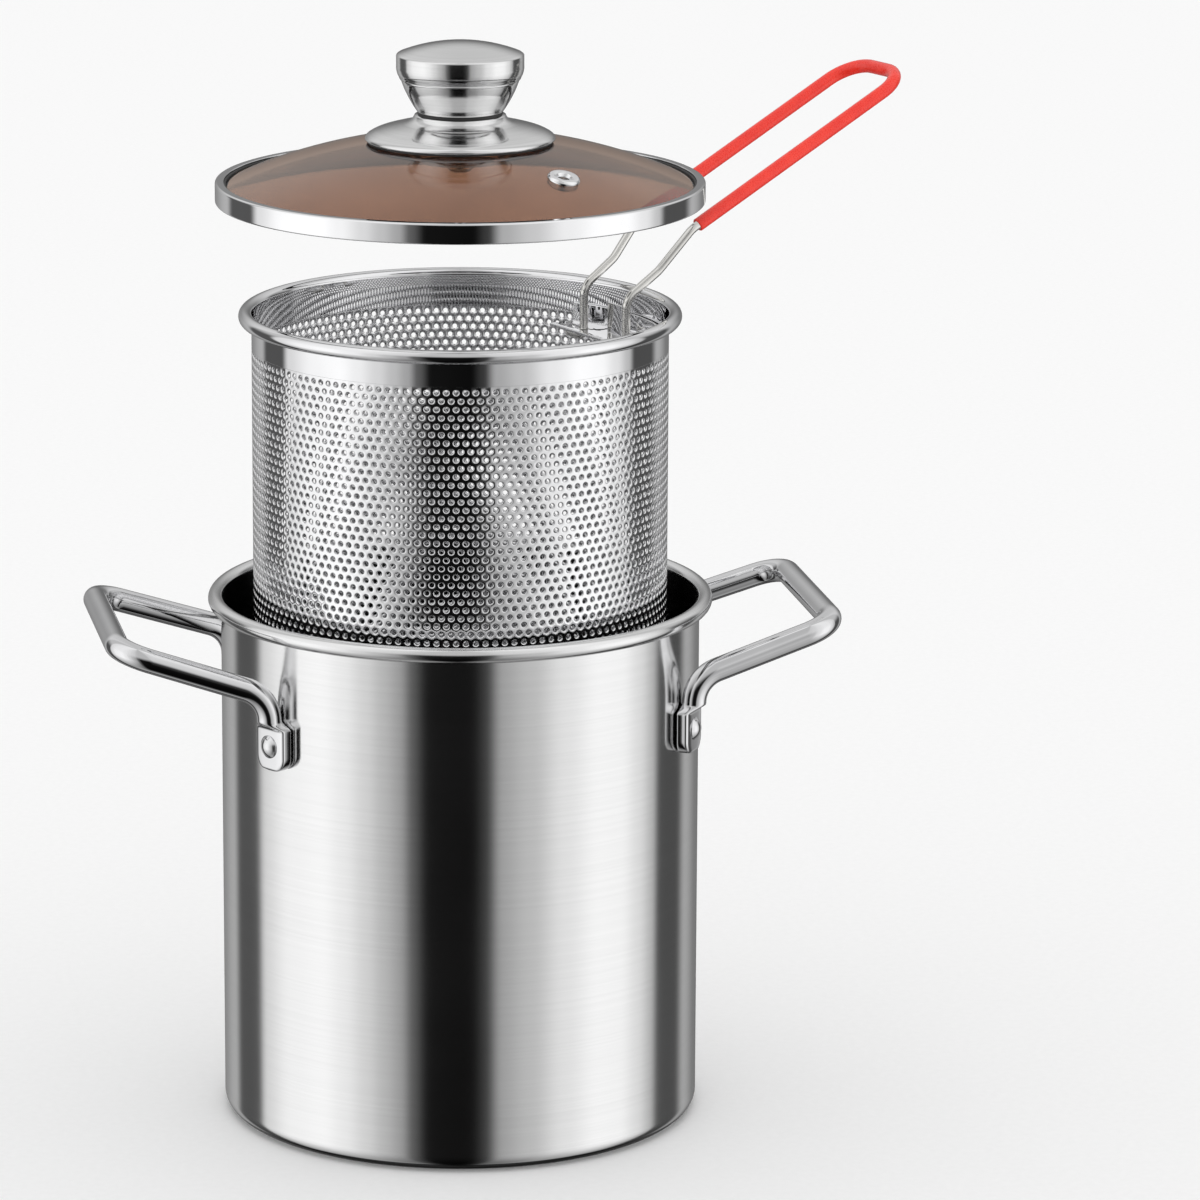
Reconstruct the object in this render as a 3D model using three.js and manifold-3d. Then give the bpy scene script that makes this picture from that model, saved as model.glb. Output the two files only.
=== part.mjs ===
// Stovetop deep fryer: a tall steel pot with two riveted side handles, a perforated lift-out basket
// with a hook-in wire handle, and a glass lid with a steel band and knob.
// Millimetres, +Z up. The origin is the centre of the pot's flat bottom, and the side handles lie along X.
// The set is shown opened: the basket is lifted half out of the pot and the lid is held above it.
import * as THREE from "three";
import { mergeVertices } from "three/addons/utils/BufferGeometryUtils.js";
import Module from "manifold-3d";

const wasm = await Module();
wasm.setup();

// ---------------------------------------------------------------- driving dimensions

// Shared
const gap = 0.3; // left between two pieces that touch on the real object
const largeRoundSides = 48;
const knobSides = 32;
const smallSides = 16;
const arcStepDegrees = 24; // most that one step of a sweep's bend turns

// Pot
const potRadius = 100;
const potHeight = 223;
const potWall = 1;
const potCorner = 6;
const potRimRadius = 3.2;

// Side handles
const handleArmSpacing = 104; // between the arms at the crossbar
const handleRootSpacing = 114; // between them at the pot's wall
const handleReach = 49; // from the pot's wall out to the middle of the crossbar
const handleDrop = 8.5; // from the pot's top down to the middle of the crossbar
const handleSlope = 18; // degrees that each arm rises outwards
const handleRodRadius = 5;
const handleCornerRadius = 14;
const handleRootRadius = 14;
const tabThickness = 5.5;
const tabWidth = 17;
const tabLength = 21;
const tabFlatLength = 17.5;
const tabBelowRivet = 10.2; // from a rivet's axis down to the end of its tab
const tabCornerRadius = 6;
const tabPressing = 1.6; // how much of the round rod the press spreads into the tab's flat faces

// Rivets
const rivetRadius = 2.5;
const rivetHeadRadius = 4.8;
const rivetHeadHeight = 2.2;
const rivetInnerHeadHeight = 1.2;
const rivetDrop = 49.5; // from the pot's top down to a rivet's axis
const rivetClearance = 0.3;
const rivetHeadGap = 0.5; // room under the heads, where a flat head meets the round wall

// Basket
const basketClearance = 12.6; // from the pot's inner wall to the basket's outer wall
const basketWall = 0.6;
const basketRimRadius = 3;
const basketFloorLip = 6;
const basketSeatGap = 0.5; // above the pot's floor when the basket is seated
const basketRimDrop = 6; // of the seated basket's rim below the pot's rim
const basketLift = 125.5; // of the basket above its seat, as shown
const basketDirection = 21.7; // degrees from +X to the wire handle, seen from above

// Bracket inside the basket that takes the wire handle
const bracketSheet = 1.2;
const bracketWallGap = 0.5;
const bracketDrop = 20.4; // from the basket's top down to the ledge's underside
const bracketHeight = 9;
const bracketHalfAngle = 24;
const bracketDepth = 20; // of the ledge, inwards from the basket's wall
const bracketTabWidth = 11;
const bracketTabHeight = 14;
const bracketTabInset = 9.6;
const bracketSlotClearance = 0.6;

// Wire handle
const wireRadius = 1.8;
const wireInset = 14.6; // from the basket's inner wall to the legs
const wireHalfSpacing = 16.5;
const wireKneeSpread = 0.8; // outwards of each leg at its knee
const wireFootLength = 12.5;
const wireFootDrop = 22.5;
const wireFootBend = 4;
const wireElbowDrop = 1;
const wireElbowBend = 9;
const wireKneeRise = 9.6; // of the bend above the basket's rim
const wireKneeBend = 14;
const wireShoulderRise = 26.3;
const wireShoulderOut = 1.2; // of the shoulder beyond the pot's wall
const wireShoulderBend = 10;
const gripHalfSpacing = 20;
const gripReach = 108.3; // level distance from the shoulder to the tip
const gripRise = 56.3;
const gripEndBend = 14;
const gripStart = 3; // along the wire from the shoulder to the end of the sleeve
const gripRadius = 2.85;
const gripWireClearance = 0.3;

// Lid
const lidGap = 45; // from the basket's rim up to the lid's band, as shown
const lidOverhang = 1; // of the band beyond the pot's wall
const bandHeight = 8.5;
const bandSheet = 0.6;
const bandTopLip = 3.7;
const bandBottomLip = 3;
const glassThickness = 4;
const glassEdgeInset = 2.4; // from the band's outside to the glass's edge
const domeRadius = 236;
const domeEdgeHeight = 6.6; // of the glass's top above the band's bottom, at the band's lip
const sealLipOver = 0.5; // of the seal beyond the band's lip

// Steam vent
const ventFromAxis = 67;
const ventDirection = -61; // degrees from +X
const ventBarrelRadius = 4;
const ventBore = 2.4;
const ventFlangeRadius = 6.7;
const ventFlangeHeight = 1.6;
const ventLip = 1.2;
const ventWasherThickness = 0.9;
const ventWasherRadius = 6.2;
const ventSheet = 0.7;

// Knob
const knobFlangeRadius = 39.2;
const knobFlangeHeight = 10.3;
const knobNeckRadius = 19;
const knobSheet = 1;
const knobRingHeight = 0.8;
const knobRingRadius = 17.6;
const knobBodyHeight = 13.2;
const knobFootRadius = 18;
const knobGrooveRadius = 24.3;
const knobRadius = 26.3;
const knobCapHeight = 15.4;
const knobDomeHeight = 5.2;
const knobCapEdge = 0.7; // how far the cap's corners are eased
const knobCapFoot = 4; // height of the cap's rounded lower edge
const flangeGasketWidth = 4;
const flangeGasketThickness = 0.8;

// Screw that holds the knob to the glass
const screwRadius = 2.5;
const screwClearance = 0.5;
const screwHeadRadius = 5.5;
const screwHeadHeight = 3.2;
const glassBoreRadius = 4.5;
const insertRadius = 6;
const insertHeight = 7.3;
const insertClearance = 0.3;
const dishRadius = 22.3;
const dishDepth = 6.5;
const dishSheet = 0.8;
const dishGasketWidth = 2.8;
const dishGasketThickness = 1;

// ---------------------------------------------------------------- worked out from them

const potInner = potRadius - potWall;
const potRimCentre = potInner + potRimRadius;
const basketRadius = potInner - basketClearance;
const basketInner = basketRadius - basketWall;
const basketHeight = potHeight - basketRimDrop - potWall - basketSeatGap;
const basketSeat = potWall + basketSeatGap;
const basketBase = basketSeat + basketLift;
const lidBase = basketBase + basketHeight + lidGap;
const bandRadius = potRadius + lidOverhang;
const bandInner = bandRadius - bandSheet;
const glassRadius = bandRadius - glassEdgeInset;
const domeCentre = domeEdgeHeight - Math.sqrt(domeRadius ** 2 - (bandRadius - bandTopLip) ** 2);

// ---------------------------------------------------------------- materials

function metal(colour, roughness) {
  return new THREE.MeshStandardMaterial({ color: colour, roughness, metalness: 1 });
}

function soft(colour, roughness) {
  return new THREE.MeshStandardMaterial({ color: colour, roughness, metalness: 0 });
}

const brushedSteel = metal(0xc9cacc, 0.32);
const polishedSteel = metal(0xdcdde0, 0.08);
const brownGlass = new THREE.MeshStandardMaterial({
  color: 0x7a4526,
  roughness: 0.05,
  metalness: 0,
  transparent: true,
  opacity: 0.5,
});
const redVinyl = soft(0xf0402c, 0.3);
const blackSilicone = soft(0x1c1b1a, 0.6);

// ---------------------------------------------------------------- geometry helpers

function radians(degrees) {
  return THREE.MathUtils.degToRad(degrees);
}

// Points [radius, height] on an arc, angles in degrees from the outward direction, counterclockwise.
function arc(centreRadius, centreHeight, radius, from, to, steps) {
  const points = [];
  for (let i = 0; i <= steps; i++) {
    const angle = radians(from + ((to - from) * i) / steps);
    points.push([
      centreRadius + radius * Math.cos(angle),
      centreHeight + radius * Math.sin(angle),
    ]);
  }
  return points;
}

// A solid of revolution about Z. The profile runs counterclockwise: up the outside, down the inside.
function turned(profile, sides) {
  const points = profile.map(([radius, height]) => new THREE.Vector2(radius, height));
  const onAxis = profile[0][0] === 0 && profile[profile.length - 1][0] === 0;
  if (!onAxis) points.push(points[0].clone());
  const geometry = new THREE.LatheGeometry(points, sides);
  return geometry.rotateX(Math.PI / 2);
}

// The profile of a sheet whose outer face follows the points, counterclockwise, with an even thickness.
function sheetProfile(outer, thickness) {
  const inner = outer.map(([radius, height], i) => {
    const [r0, h0] = outer[Math.max(i - 1, 0)];
    const [r1, h1] = outer[Math.min(i + 1, outer.length - 1)];
    if (radius === 0) return [0, height - thickness];
    const length = Math.hypot(r1 - r0, h1 - h0);
    return [
      radius - (thickness * (h1 - h0)) / length,
      height + (thickness * (r1 - r0)) / length,
    ];
  });
  return [...outer, ...inner.reverse()];
}

// The rolled edge of a sheet wall, from where it leaves the wall's outside round to the wall's inside.
function rolledRim(innerRadius, wall, rollRadius, top) {
  const leaves = THREE.MathUtils.radToDeg(Math.acos((rollRadius - wall) / rollRadius));
  return arc(innerRadius + rollRadius, top - rollRadius, rollRadius, 180 + leaves, 540, 11);
}

function rectangularRing(innerRadius, outerRadius, bottom, top, sides) {
  const profile = [
    [innerRadius, bottom],
    [outerRadius, bottom],
    [outerRadius, top],
    [innerRadius, top],
  ];
  return turned(profile, sides);
}

// A round bar along X from one distance to another, for drilling a hole.
function drill(radius, from, to, sides) {
  const geometry = new THREE.CylinderGeometry(radius, radius, to - from, sides);
  return geometry.rotateZ(Math.PI / 2).translate((from + to) / 2, 0, 0);
}

function toSolid(geometry) {
  const bare = new THREE.BufferGeometry();
  const source = geometry.index ? geometry.toNonIndexed() : geometry;
  bare.setAttribute("position", source.getAttribute("position"));
  const merged = mergeVertices(bare, 1e-4);
  const mesh = new wasm.Mesh({
    numProp: 3,
    vertProperties: merged.getAttribute("position").array,
    triVerts: new Uint32Array(merged.index.array),
  });
  return new wasm.Manifold(mesh);
}

function toGeometry(solid) {
  const mesh = solid.getMesh();
  const geometry = new THREE.BufferGeometry();
  geometry.setAttribute("position", new THREE.BufferAttribute(mesh.vertProperties, 3));
  geometry.setIndex(new THREE.BufferAttribute(mesh.triVerts, 1));
  geometry.computeVertexNormals();
  return geometry;
}

function cut(geometry, tools) {
  const solid = tools.reduce((rest, tool) => rest.subtract(toSolid(tool)), toSolid(geometry));
  return toGeometry(solid);
}

function join(geometries) {
  const [first, ...others] = geometries.map(toSolid);
  return toGeometry(others.reduce((whole, other) => whole.add(other), first));
}

// A sweep's centre line as stations, each with its own direction: the ends, and steps round each bend.
class BentLine extends THREE.Curve {
  constructor(corners) {
    super();
    this.points = [];
    this.directions = [];
    const places = corners.map((corner) => new THREE.Vector3(...corner.at));
    const last = places.length - 1;
    this.addStation(places[0], places[1].clone().sub(places[0]).normalize());
    for (let i = 1; i < last; i++) {
      const before = places[i].clone().sub(places[i - 1]).normalize();
      const after = places[i + 1].clone().sub(places[i]).normalize();
      this.addBend(places[i], before, after, corners[i].bend);
    }
    this.addStation(places[last], places[last].clone().sub(places[last - 1]).normalize());
  }

  addStation(point, direction) {
    this.points.push(point);
    this.directions.push(direction);
  }

  addBend(corner, before, after, bend) {
    if (bend === 0) {
      this.addStation(corner, before);
      return;
    }
    const turn = before.angleTo(after);
    const start = corner.clone().addScaledVector(before, -bend * Math.tan(turn / 2));
    const inwards = after.clone().addScaledVector(before, -after.dot(before)).normalize();
    const steps = Math.max(2, Math.ceil(turn / radians(arcStepDegrees)));
    for (let i = 0; i <= steps; i++) {
      const angle = (turn * i) / steps;
      const point = start.clone().addScaledVector(before, bend * Math.sin(angle));
      point.addScaledVector(inwards, bend * (1 - Math.cos(angle)));
      const direction = before.clone().multiplyScalar(Math.cos(angle));
      this.addStation(point, direction.addScaledVector(inwards, Math.sin(angle)));
    }
  }

  station(t) {
    return Math.round(t * (this.points.length - 1));
  }

  getPoint(t) {
    return this.points[this.station(t)].clone();
  }

  getTangent(t) {
    return this.directions[this.station(t)].clone();
  }

  getUtoTmapping(u) {
    return u;
  }
}

function circlePoints(radius, sides) {
  const points = [];
  for (let i = 0; i < sides; i++) {
    const angle = (2 * Math.PI * i) / sides;
    points.push(new THREE.Vector2(radius * Math.cos(angle), radius * Math.sin(angle)));
  }
  return points;
}

// A round bar, or a tube when it has a bore, along a bent line.
function swept(line, radius, sides, bore = 0) {
  const section = new THREE.Shape(circlePoints(radius, sides));
  if (bore > 0) section.holes.push(new THREE.Path(circlePoints(bore, sides)));
  return new THREE.ExtrudeGeometry(section, {
    steps: line.points.length - 1,
    extrudePath: line,
    bevelEnabled: false,
  });
}

function piece(name, geometry, material) {
  const mesh = new THREE.Mesh(geometry, material);
  mesh.name = name;
  return mesh;
}

// ---------------------------------------------------------------- pot

const rivetHeight = potHeight - rivetDrop;
const rodAxisRadius = potRadius + gap + handleRodRadius;
const tabAngle = Math.asin(handleRootSpacing / 2 / rodAxisRadius);
const tabInnerFace = potRadius + gap;
const tabOuterFace = tabInnerFace + tabThickness;

function rivetHole(angle) {
  const hole = drill(rivetRadius + rivetClearance, potInner - tabThickness, tabOuterFace + 1, smallSides);
  return hole.rotateZ(angle).translate(0, 0, rivetHeight);
}

function makePotBody() {
  const innerCorner = potCorner - potWall;
  const profile = [
    [0, 0],
    ...arc(potRadius - potCorner, potCorner, potCorner, 270, 360, 3),
    ...rolledRim(potInner, potWall, potRimRadius, potHeight),
    ...arc(potRadius - potCorner, potCorner, innerCorner, 0, -90, 3),
    [0, potWall],
  ];
  const angles = [tabAngle, -tabAngle, Math.PI + tabAngle, Math.PI - tabAngle];
  return cut(turned(profile, largeRoundSides), angles.map(rivetHole));
}

// How much of the pressed-flat end a height has: 0 on the round rod, 1 on the flat tab.
function flatness(height, tabBottom) {
  const start = tabBottom + tabLength;
  const end = tabBottom + tabFlatLength;
  return 1 - THREE.MathUtils.smoothstep(height, end, start);
}

// Half the tab's width at a height: full, but drawn in round its lower corners.
function tabHalfWidth(height, tabBottom) {
  const down = Math.max(tabBottom + tabCornerRadius - height, 0);
  return tabWidth / 2 - tabCornerRadius + Math.sqrt(tabCornerRadius ** 2 - down ** 2);
}

// Presses both ends of the rod flat against the pot's wall and rounds their lower corners.
function pressEndsFlat(geometry, tabBottom) {
  const position = geometry.getAttribute("position");
  const halfThickness = tabThickness / 2;
  for (let i = 0; i < position.count; i++) {
    const side = Math.sign(position.getY(i));
    const outwards = new THREE.Vector2(Math.cos(tabAngle), side * Math.sin(tabAngle));
    const along = new THREE.Vector2(-outwards.y, outwards.x);
    const centre = outwards.clone().multiplyScalar(rodAxisRadius);
    const offset = new THREE.Vector2(position.getX(i), position.getY(i)).sub(centre);
    const share = flatness(position.getZ(i), tabBottom);
    const nearWall = offset.length() < handleRodRadius + gap;
    if (share === 0 || !nearWall) continue;
    const acrossSheet = offset.dot(outwards);
    const alongSheet = offset.dot(along);
    const pressed =
      THREE.MathUtils.clamp(acrossSheet * tabPressing, -halfThickness, halfThickness) -
      (handleRodRadius - halfThickness);
    const across = THREE.MathUtils.lerp(acrossSheet, pressed, share);
    const halfWidth = tabHalfWidth(position.getZ(i), tabBottom);
    const widen = THREE.MathUtils.lerp(1, halfWidth / handleRodRadius, share);
    const place = centre.addScaledVector(outwards, across).addScaledVector(along, alongSheet * widen);
    position.setX(i, place.x);
    position.setY(i, place.y);
  }
  return geometry;
}

// The right handle; the left one is the same piece turned half round.
function makeSideHandle() {
  const wallX = Math.cos(tabAngle) * rodAxisRadius;
  const rootY = handleRootSpacing / 2;
  const armY = handleArmSpacing / 2;
  const barX = potRadius + handleReach;
  const barZ = potHeight - handleDrop;
  const armReach = Math.hypot(barX - wallX, rootY - armY);
  const rootZ = barZ - armReach * Math.tan(radians(handleSlope));
  const tabBottom = rivetHeight - tabBelowRivet;
  const cornerStations = [0, tabCornerRadius * 0.12, tabCornerRadius * 0.45, tabCornerRadius];
  const neckStations = [tabFlatLength, (tabFlatLength + tabLength) / 2];
  const half = [
    ...[...cornerStations, ...neckStations].map((up) => ({ at: [wallX, rootY, tabBottom + up], bend: 0 })),
    { at: [wallX, rootY, rootZ], bend: handleRootRadius },
    { at: [barX, armY, barZ], bend: handleCornerRadius },
  ];
  const near = half.map(({ at: [x, y, z], bend }) => ({ at: [x, -y, z], bend }));
  const far = [...half].reverse();
  const rod = swept(new BentLine([...near, ...far]), handleRodRadius, 12);
  const holes = [tabAngle, -tabAngle].map(rivetHole);
  return cut(pressEndsFlat(rod, tabBottom), holes);
}

// Points up a dome of a given radius and height, between its edge and its crown.
function domePoints(radius, height, steps) {
  const points = [];
  for (let i = 1; i < steps; i++) {
    const angle = radians((90 * i) / steps);
    points.push([radius * Math.cos(angle), height * Math.sin(angle)]);
  }
  return points;
}

// A rivet along X: a flat head inside the pot and a domed head on the tab.
function makeRivet() {
  const innerHead = potInner - rivetHeadGap;
  const outerHead = tabOuterFace + rivetHeadGap;
  const profile = [
    [0, innerHead - rivetInnerHeadHeight],
    [rivetHeadRadius, innerHead - rivetInnerHeadHeight],
    [rivetHeadRadius, innerHead],
    [rivetRadius, innerHead],
    [rivetRadius, outerHead],
    [rivetHeadRadius, outerHead],
    ...domePoints(rivetHeadRadius, rivetHeadHeight, 3).map(([r, h]) => [r, outerHead + h]),
    [0, outerHead + rivetHeadHeight],
  ];
  return turned(profile, smallSides).rotateY(Math.PI / 2);
}

function makePot() {
  const pot = new THREE.Group();
  pot.add(piece("pot_body", makePotBody(), brushedSteel));
  for (const [side, turn] of [["right", 0], ["left", Math.PI]]) {
    const handle = piece(`${side}_handle`, makeSideHandle(), polishedSteel);
    handle.rotation.z = turn;
    pot.add(handle);
    for (const [place, sign] of [["front", -1], ["back", 1]]) {
      const mirrored = side === "right" ? sign : -sign;
      const rivet = piece(`${side}_${place}_rivet`, makeRivet(), polishedSteel);
      rivet.rotation.z = turn + mirrored * tabAngle;
      rivet.position.z = rivetHeight;
      pot.add(rivet);
    }
  }
  return pot;
}

// ---------------------------------------------------------------- basket

function makeBasketWall() {
  const profile = [
    [basketInner, 0],
    [basketRadius, 0],
    ...rolledRim(basketInner, basketWall, basketRimRadius, basketHeight),
  ];
  return turned(profile, largeRoundSides);
}

function makeBasketFloor() {
  const outer = basketInner - gap;
  const profile = [
    [0, 0],
    [outer, 0],
    [outer, basketFloorLip],
    [outer - basketWall, basketFloorLip],
    [outer - basketWall, basketWall],
    [0, basketWall],
  ];
  return turned(profile, largeRoundSides);
}

// A flat shape in the plan of the basket, standing from one height to another.
function upright(shape, bottom, top, curveSegments = 10) {
  const geometry = new THREE.ExtrudeGeometry(shape, {
    depth: top - bottom,
    bevelEnabled: false,
    curveSegments,
  });
  return geometry.translate(0, 0, bottom);
}

function rectangle(x0, y0, x1, y1) {
  const corners = [[x0, y0], [x1, y0], [x1, y1], [x0, y1]];
  return new THREE.Shape(corners.map(([x, y]) => new THREE.Vector2(x, y)));
}

const wireLegX = basketInner - wireInset;

// A slot in the ledge, long enough for a leg's foot to pass up through it.
function legSlot(side) {
  const clear = wireRadius + bracketSlotClearance;
  const from = wireHalfSpacing - clear;
  const to = wireHalfSpacing + wireFootLength + bracketSlotClearance;
  const low = side > 0 ? from : -to;
  const high = side > 0 ? to : -from;
  return rectangle(wireLegX - clear, low, wireLegX + clear, high);
}

// The bracket in the wire handle's own frame: +X towards the handle, Z measured from the basket's top.
function makeBracket() {
  const backRadius = basketInner - bracketWallGap;
  const halfAngle = radians(bracketHalfAngle);
  const plate = new THREE.Shape();
  plate.absarc(0, 0, backRadius, -halfAngle, halfAngle, false);
  plate.absarc(0, 0, backRadius - bracketSheet, halfAngle, -halfAngle, true);
  const ledge = new THREE.Shape();
  const frontX = backRadius - bracketDepth;
  ledge.absarc(0, 0, backRadius, -halfAngle, halfAngle, false);
  ledge.lineTo(frontX, backRadius * Math.sin(halfAngle));
  ledge.lineTo(frontX, -backRadius * Math.sin(halfAngle));
  const tabX = backRadius - bracketTabInset;
  const tab = rectangle(tabX, -bracketTabWidth / 2, tabX + bracketSheet, bracketTabWidth / 2);
  const bottom = -bracketDrop;
  const whole = join([
    upright(plate, bottom, bottom + bracketHeight),
    upright(ledge, bottom, bottom + bracketSheet),
    upright(tab, bottom, bottom + bracketTabHeight),
  ]);
  const slots = [1, -1].map((side) => upright(legSlot(side), bottom - 1, bottom + bracketSheet + 1));
  return cut(whole, slots);
}

// The bends of the wire handle's half on one side, from the shoulder to the tip.
function gripCorners(side) {
  const shoulder = new THREE.Vector3(potRadius + wireShoulderOut, side * gripHalfSpacing, wireShoulderRise);
  const tip = shoulder.clone().add(new THREE.Vector3(gripReach, 0, gripRise));
  return { shoulder, tip };
}

function wireCorners(side) {
  const { shoulder, tip } = gripCorners(side);
  const legY = side * wireHalfSpacing;
  const kneeY = side * (wireHalfSpacing + wireKneeSpread);
  return [
    { at: [wireLegX, side * (wireHalfSpacing + wireFootLength), -wireFootDrop], bend: 0 },
    { at: [wireLegX, legY, -wireFootDrop], bend: wireFootBend },
    { at: [wireLegX, legY, -wireElbowDrop], bend: wireElbowBend },
    { at: [basketRadius, kneeY, wireKneeRise], bend: wireKneeBend },
    { at: shoulder.toArray(), bend: wireShoulderBend },
    { at: tip.toArray(), bend: gripEndBend },
  ];
}

function makeWire() {
  const corners = [...wireCorners(1), ...wireCorners(-1).reverse()];
  return swept(new BentLine(corners), wireRadius, 8);
}

function makeGrip() {
  const half = [1, -1].map((side) => {
    const { shoulder, tip } = gripCorners(side);
    const along = tip.clone().sub(shoulder).normalize();
    const start = shoulder.clone().addScaledVector(along, gripStart);
    return [
      { at: start.toArray(), bend: 0 },
      { at: tip.toArray(), bend: gripEndBend },
    ];
  });
  const line = new BentLine([...half[0], ...half[1].reverse()]);
  return swept(line, gripRadius, 10, wireRadius + gripWireClearance);
}

function makeBasket() {
  const basket = new THREE.Group();
  basket.position.z = basketBase;
  basket.add(piece("basket_wall", makeBasketWall(), polishedSteel));
  basket.add(piece("basket_floor", makeBasketFloor(), polishedSteel));
  const handleFrame = new THREE.Group();
  handleFrame.position.z = basketHeight;
  handleFrame.rotation.z = radians(basketDirection);
  handleFrame.add(piece("handle_bracket", makeBracket(), polishedSteel));
  handleFrame.add(piece("wire_handle", makeWire(), polishedSteel));
  handleFrame.add(piece("handle_grip", makeGrip(), redVinyl));
  basket.add(handleFrame);
  return basket;
}

// ---------------------------------------------------------------- lid

// Height of the glass's upper face above the lid's base, at a distance from the axis.
function domeTop(radius) {
  return domeCentre + Math.sqrt(domeRadius ** 2 - radius ** 2);
}

function domeUnderside(radius) {
  return domeCentre + Math.sqrt((domeRadius - glassThickness) ** 2 - radius ** 2);
}

// The vent's frame: on the glass's upper face, with Z square to it.
function ventFrame() {
  const direction = radians(ventDirection);
  const height = domeTop(ventFromAxis);
  const x = ventFromAxis * Math.cos(direction);
  const y = ventFromAxis * Math.sin(direction);
  const normal = new THREE.Vector3(x, y, height - domeCentre).normalize();
  const frame = new THREE.Group();
  frame.position.set(x, y, height);
  frame.quaternion.setFromUnitVectors(new THREE.Vector3(0, 0, 1), normal);
  frame.updateMatrix();
  return frame;
}

function makeGlass() {
  const upper = [];
  const lower = [];
  const steps = 7;
  for (let i = 0; i <= steps; i++) {
    const radius = THREE.MathUtils.lerp(glassBoreRadius, glassRadius, i / steps);
    lower.push([radius, domeUnderside(radius)]);
    upper.unshift([radius, domeTop(radius)]);
  }
  const ventHole = new THREE.CylinderGeometry(
    ventBarrelRadius + gap,
    ventBarrelRadius + gap,
    glassThickness * 3,
    smallSides,
  );
  ventHole.rotateX(Math.PI / 2).applyMatrix4(ventFrame().matrix);
  return cut(turned([...lower, ...upper], largeRoundSides), [ventHole]);
}

function makeBand() {
  const topLip = bandRadius - bandTopLip;
  const bottomLip = bandRadius - bandBottomLip;
  const profile = [
    [bottomLip, 0],
    [bandInner, 0],
    [bandRadius, bandSheet],
    [bandRadius, bandHeight - bandSheet],
    [bandInner, bandHeight],
    [topLip, bandHeight],
    [topLip, bandHeight - bandSheet],
    [bandInner, bandHeight - bandSheet],
    [bandInner, bandSheet],
    [bottomLip, bandSheet],
  ];
  return turned(profile, largeRoundSides);
}

function makeSeal() {
  const outer = bandInner - gap;
  const inner = glassRadius + gap;
  const lip = bandRadius - bandTopLip - sealLipOver;
  const top = bandHeight - bandSheet - gap;
  const profile = [
    [inner, bandSheet + gap],
    [outer, bandSheet + gap],
    [outer, top],
    [lip, top],
    [lip, domeTop(lip) + gap],
    [inner, domeTop(inner) + gap],
  ];
  return turned(profile, largeRoundSides);
}

function makeVentEyelet() {
  const clinch = -(glassThickness + ventWasherThickness + 2 * gap);
  const lip = clinch - ventSheet;
  const top = gap + ventFlangeHeight;
  const profile = [
    [ventBore, lip],
    [ventBarrelRadius + ventLip, lip],
    [ventBarrelRadius + ventLip, clinch],
    [ventBarrelRadius, clinch],
    [ventBarrelRadius, gap],
    [ventFlangeRadius, gap],
    [ventFlangeRadius, gap + ventFlangeHeight * 0.4],
    [ventFlangeRadius - ventSheet, gap + ventFlangeHeight * 0.85],
    [(ventFlangeRadius + ventBore) / 2, top],
    [ventBore + ventSheet, gap + ventFlangeHeight * 0.75],
    [ventBore, gap + ventFlangeHeight * 0.2],
  ];
  return turned(profile, smallSides);
}

function makeVentWasher() {
  const top = -(glassThickness + gap);
  const bottom = top - ventWasherThickness + gap;
  return rectangularRing(ventBarrelRadius + gap, ventWasherRadius, bottom, top, smallSides);
}

// Knob pieces are made with Z measured from the flange's lower edge.
const screwHole = screwRadius + screwClearance;
const flangeTop = knobFlangeHeight;
const ringBottom = flangeTop + gap;
const bodyBottom = ringBottom + knobRingHeight + gap;
const capBottom = bodyBottom + knobBodyHeight + gap;
const capTop = capBottom + knobCapHeight;
const knobSeat = domeTop(knobFlangeRadius) + flangeGasketThickness + gap;

function makeKnobFlange() {
  const edge = knobFlangeRadius;
  const neck = knobNeckRadius;
  const height = knobFlangeHeight;
  const blend = (share) => THREE.MathUtils.lerp(edge, neck, share);
  const outer = [
    [edge, 0],
    [edge, height * 0.07],
    [blend(0.1), height * 0.18],
    [blend(0.3), height * 0.33],
    [blend(0.55), height * 0.46],
    [blend(0.8), height * 0.58],
    [blend(0.95), height * 0.74],
    [neck, height * 0.9],
    [neck - knobSheet, height],
    [screwHole, height],
  ];
  return turned(sheetProfile(outer, knobSheet), knobSides);
}

function makeFlangeGasket() {
  const outer = knobFlangeRadius - knobSheet;
  const inner = outer - flangeGasketWidth;
  const clear = (radius) => domeTop(radius) - knobSeat + gap;
  const profile = [
    [inner, clear(inner)],
    [outer, clear(outer)],
    [outer, clear(outer) + flangeGasketThickness],
    [inner, clear(inner) + flangeGasketThickness],
  ];
  return turned(profile, knobSides);
}

function makeKnobRing() {
  return rectangularRing(screwHole, knobRingRadius, ringBottom, ringBottom + knobRingHeight, knobSides);
}

function makeKnobBody() {
  const side = (share, bulge) => [
    THREE.MathUtils.lerp(knobFootRadius, knobGrooveRadius, share) + bulge,
    bodyBottom + knobSheet + (knobBodyHeight - knobSheet) * share,
  ];
  const outer = [
    [screwHole, bodyBottom],
    [knobFootRadius - knobSheet, bodyBottom],
    side(0, 0),
    side(0.33, 0.25),
    side(0.66, 0.25),
    side(1, 0),
  ];
  return turned(sheetProfile(outer, knobSheet), knobSides);
}

function makeKnobCap() {
  const shoulder = capTop - knobDomeHeight;
  const outer = [
    [knobGrooveRadius + gap, capBottom],
    [knobRadius - knobCapEdge, capBottom + knobCapFoot * 0.65],
    [knobRadius, capBottom + knobCapFoot],
    [knobRadius, shoulder - knobCapEdge],
    [knobRadius - knobCapEdge, shoulder],
    ...[0.8, 0.5, 0.2].map((share) => [knobRadius * share, capTop - knobDomeHeight * share ** 2]),
    [0, capTop],
  ];
  return turned(sheetProfile(outer, knobSheet), knobSides);
}

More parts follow.
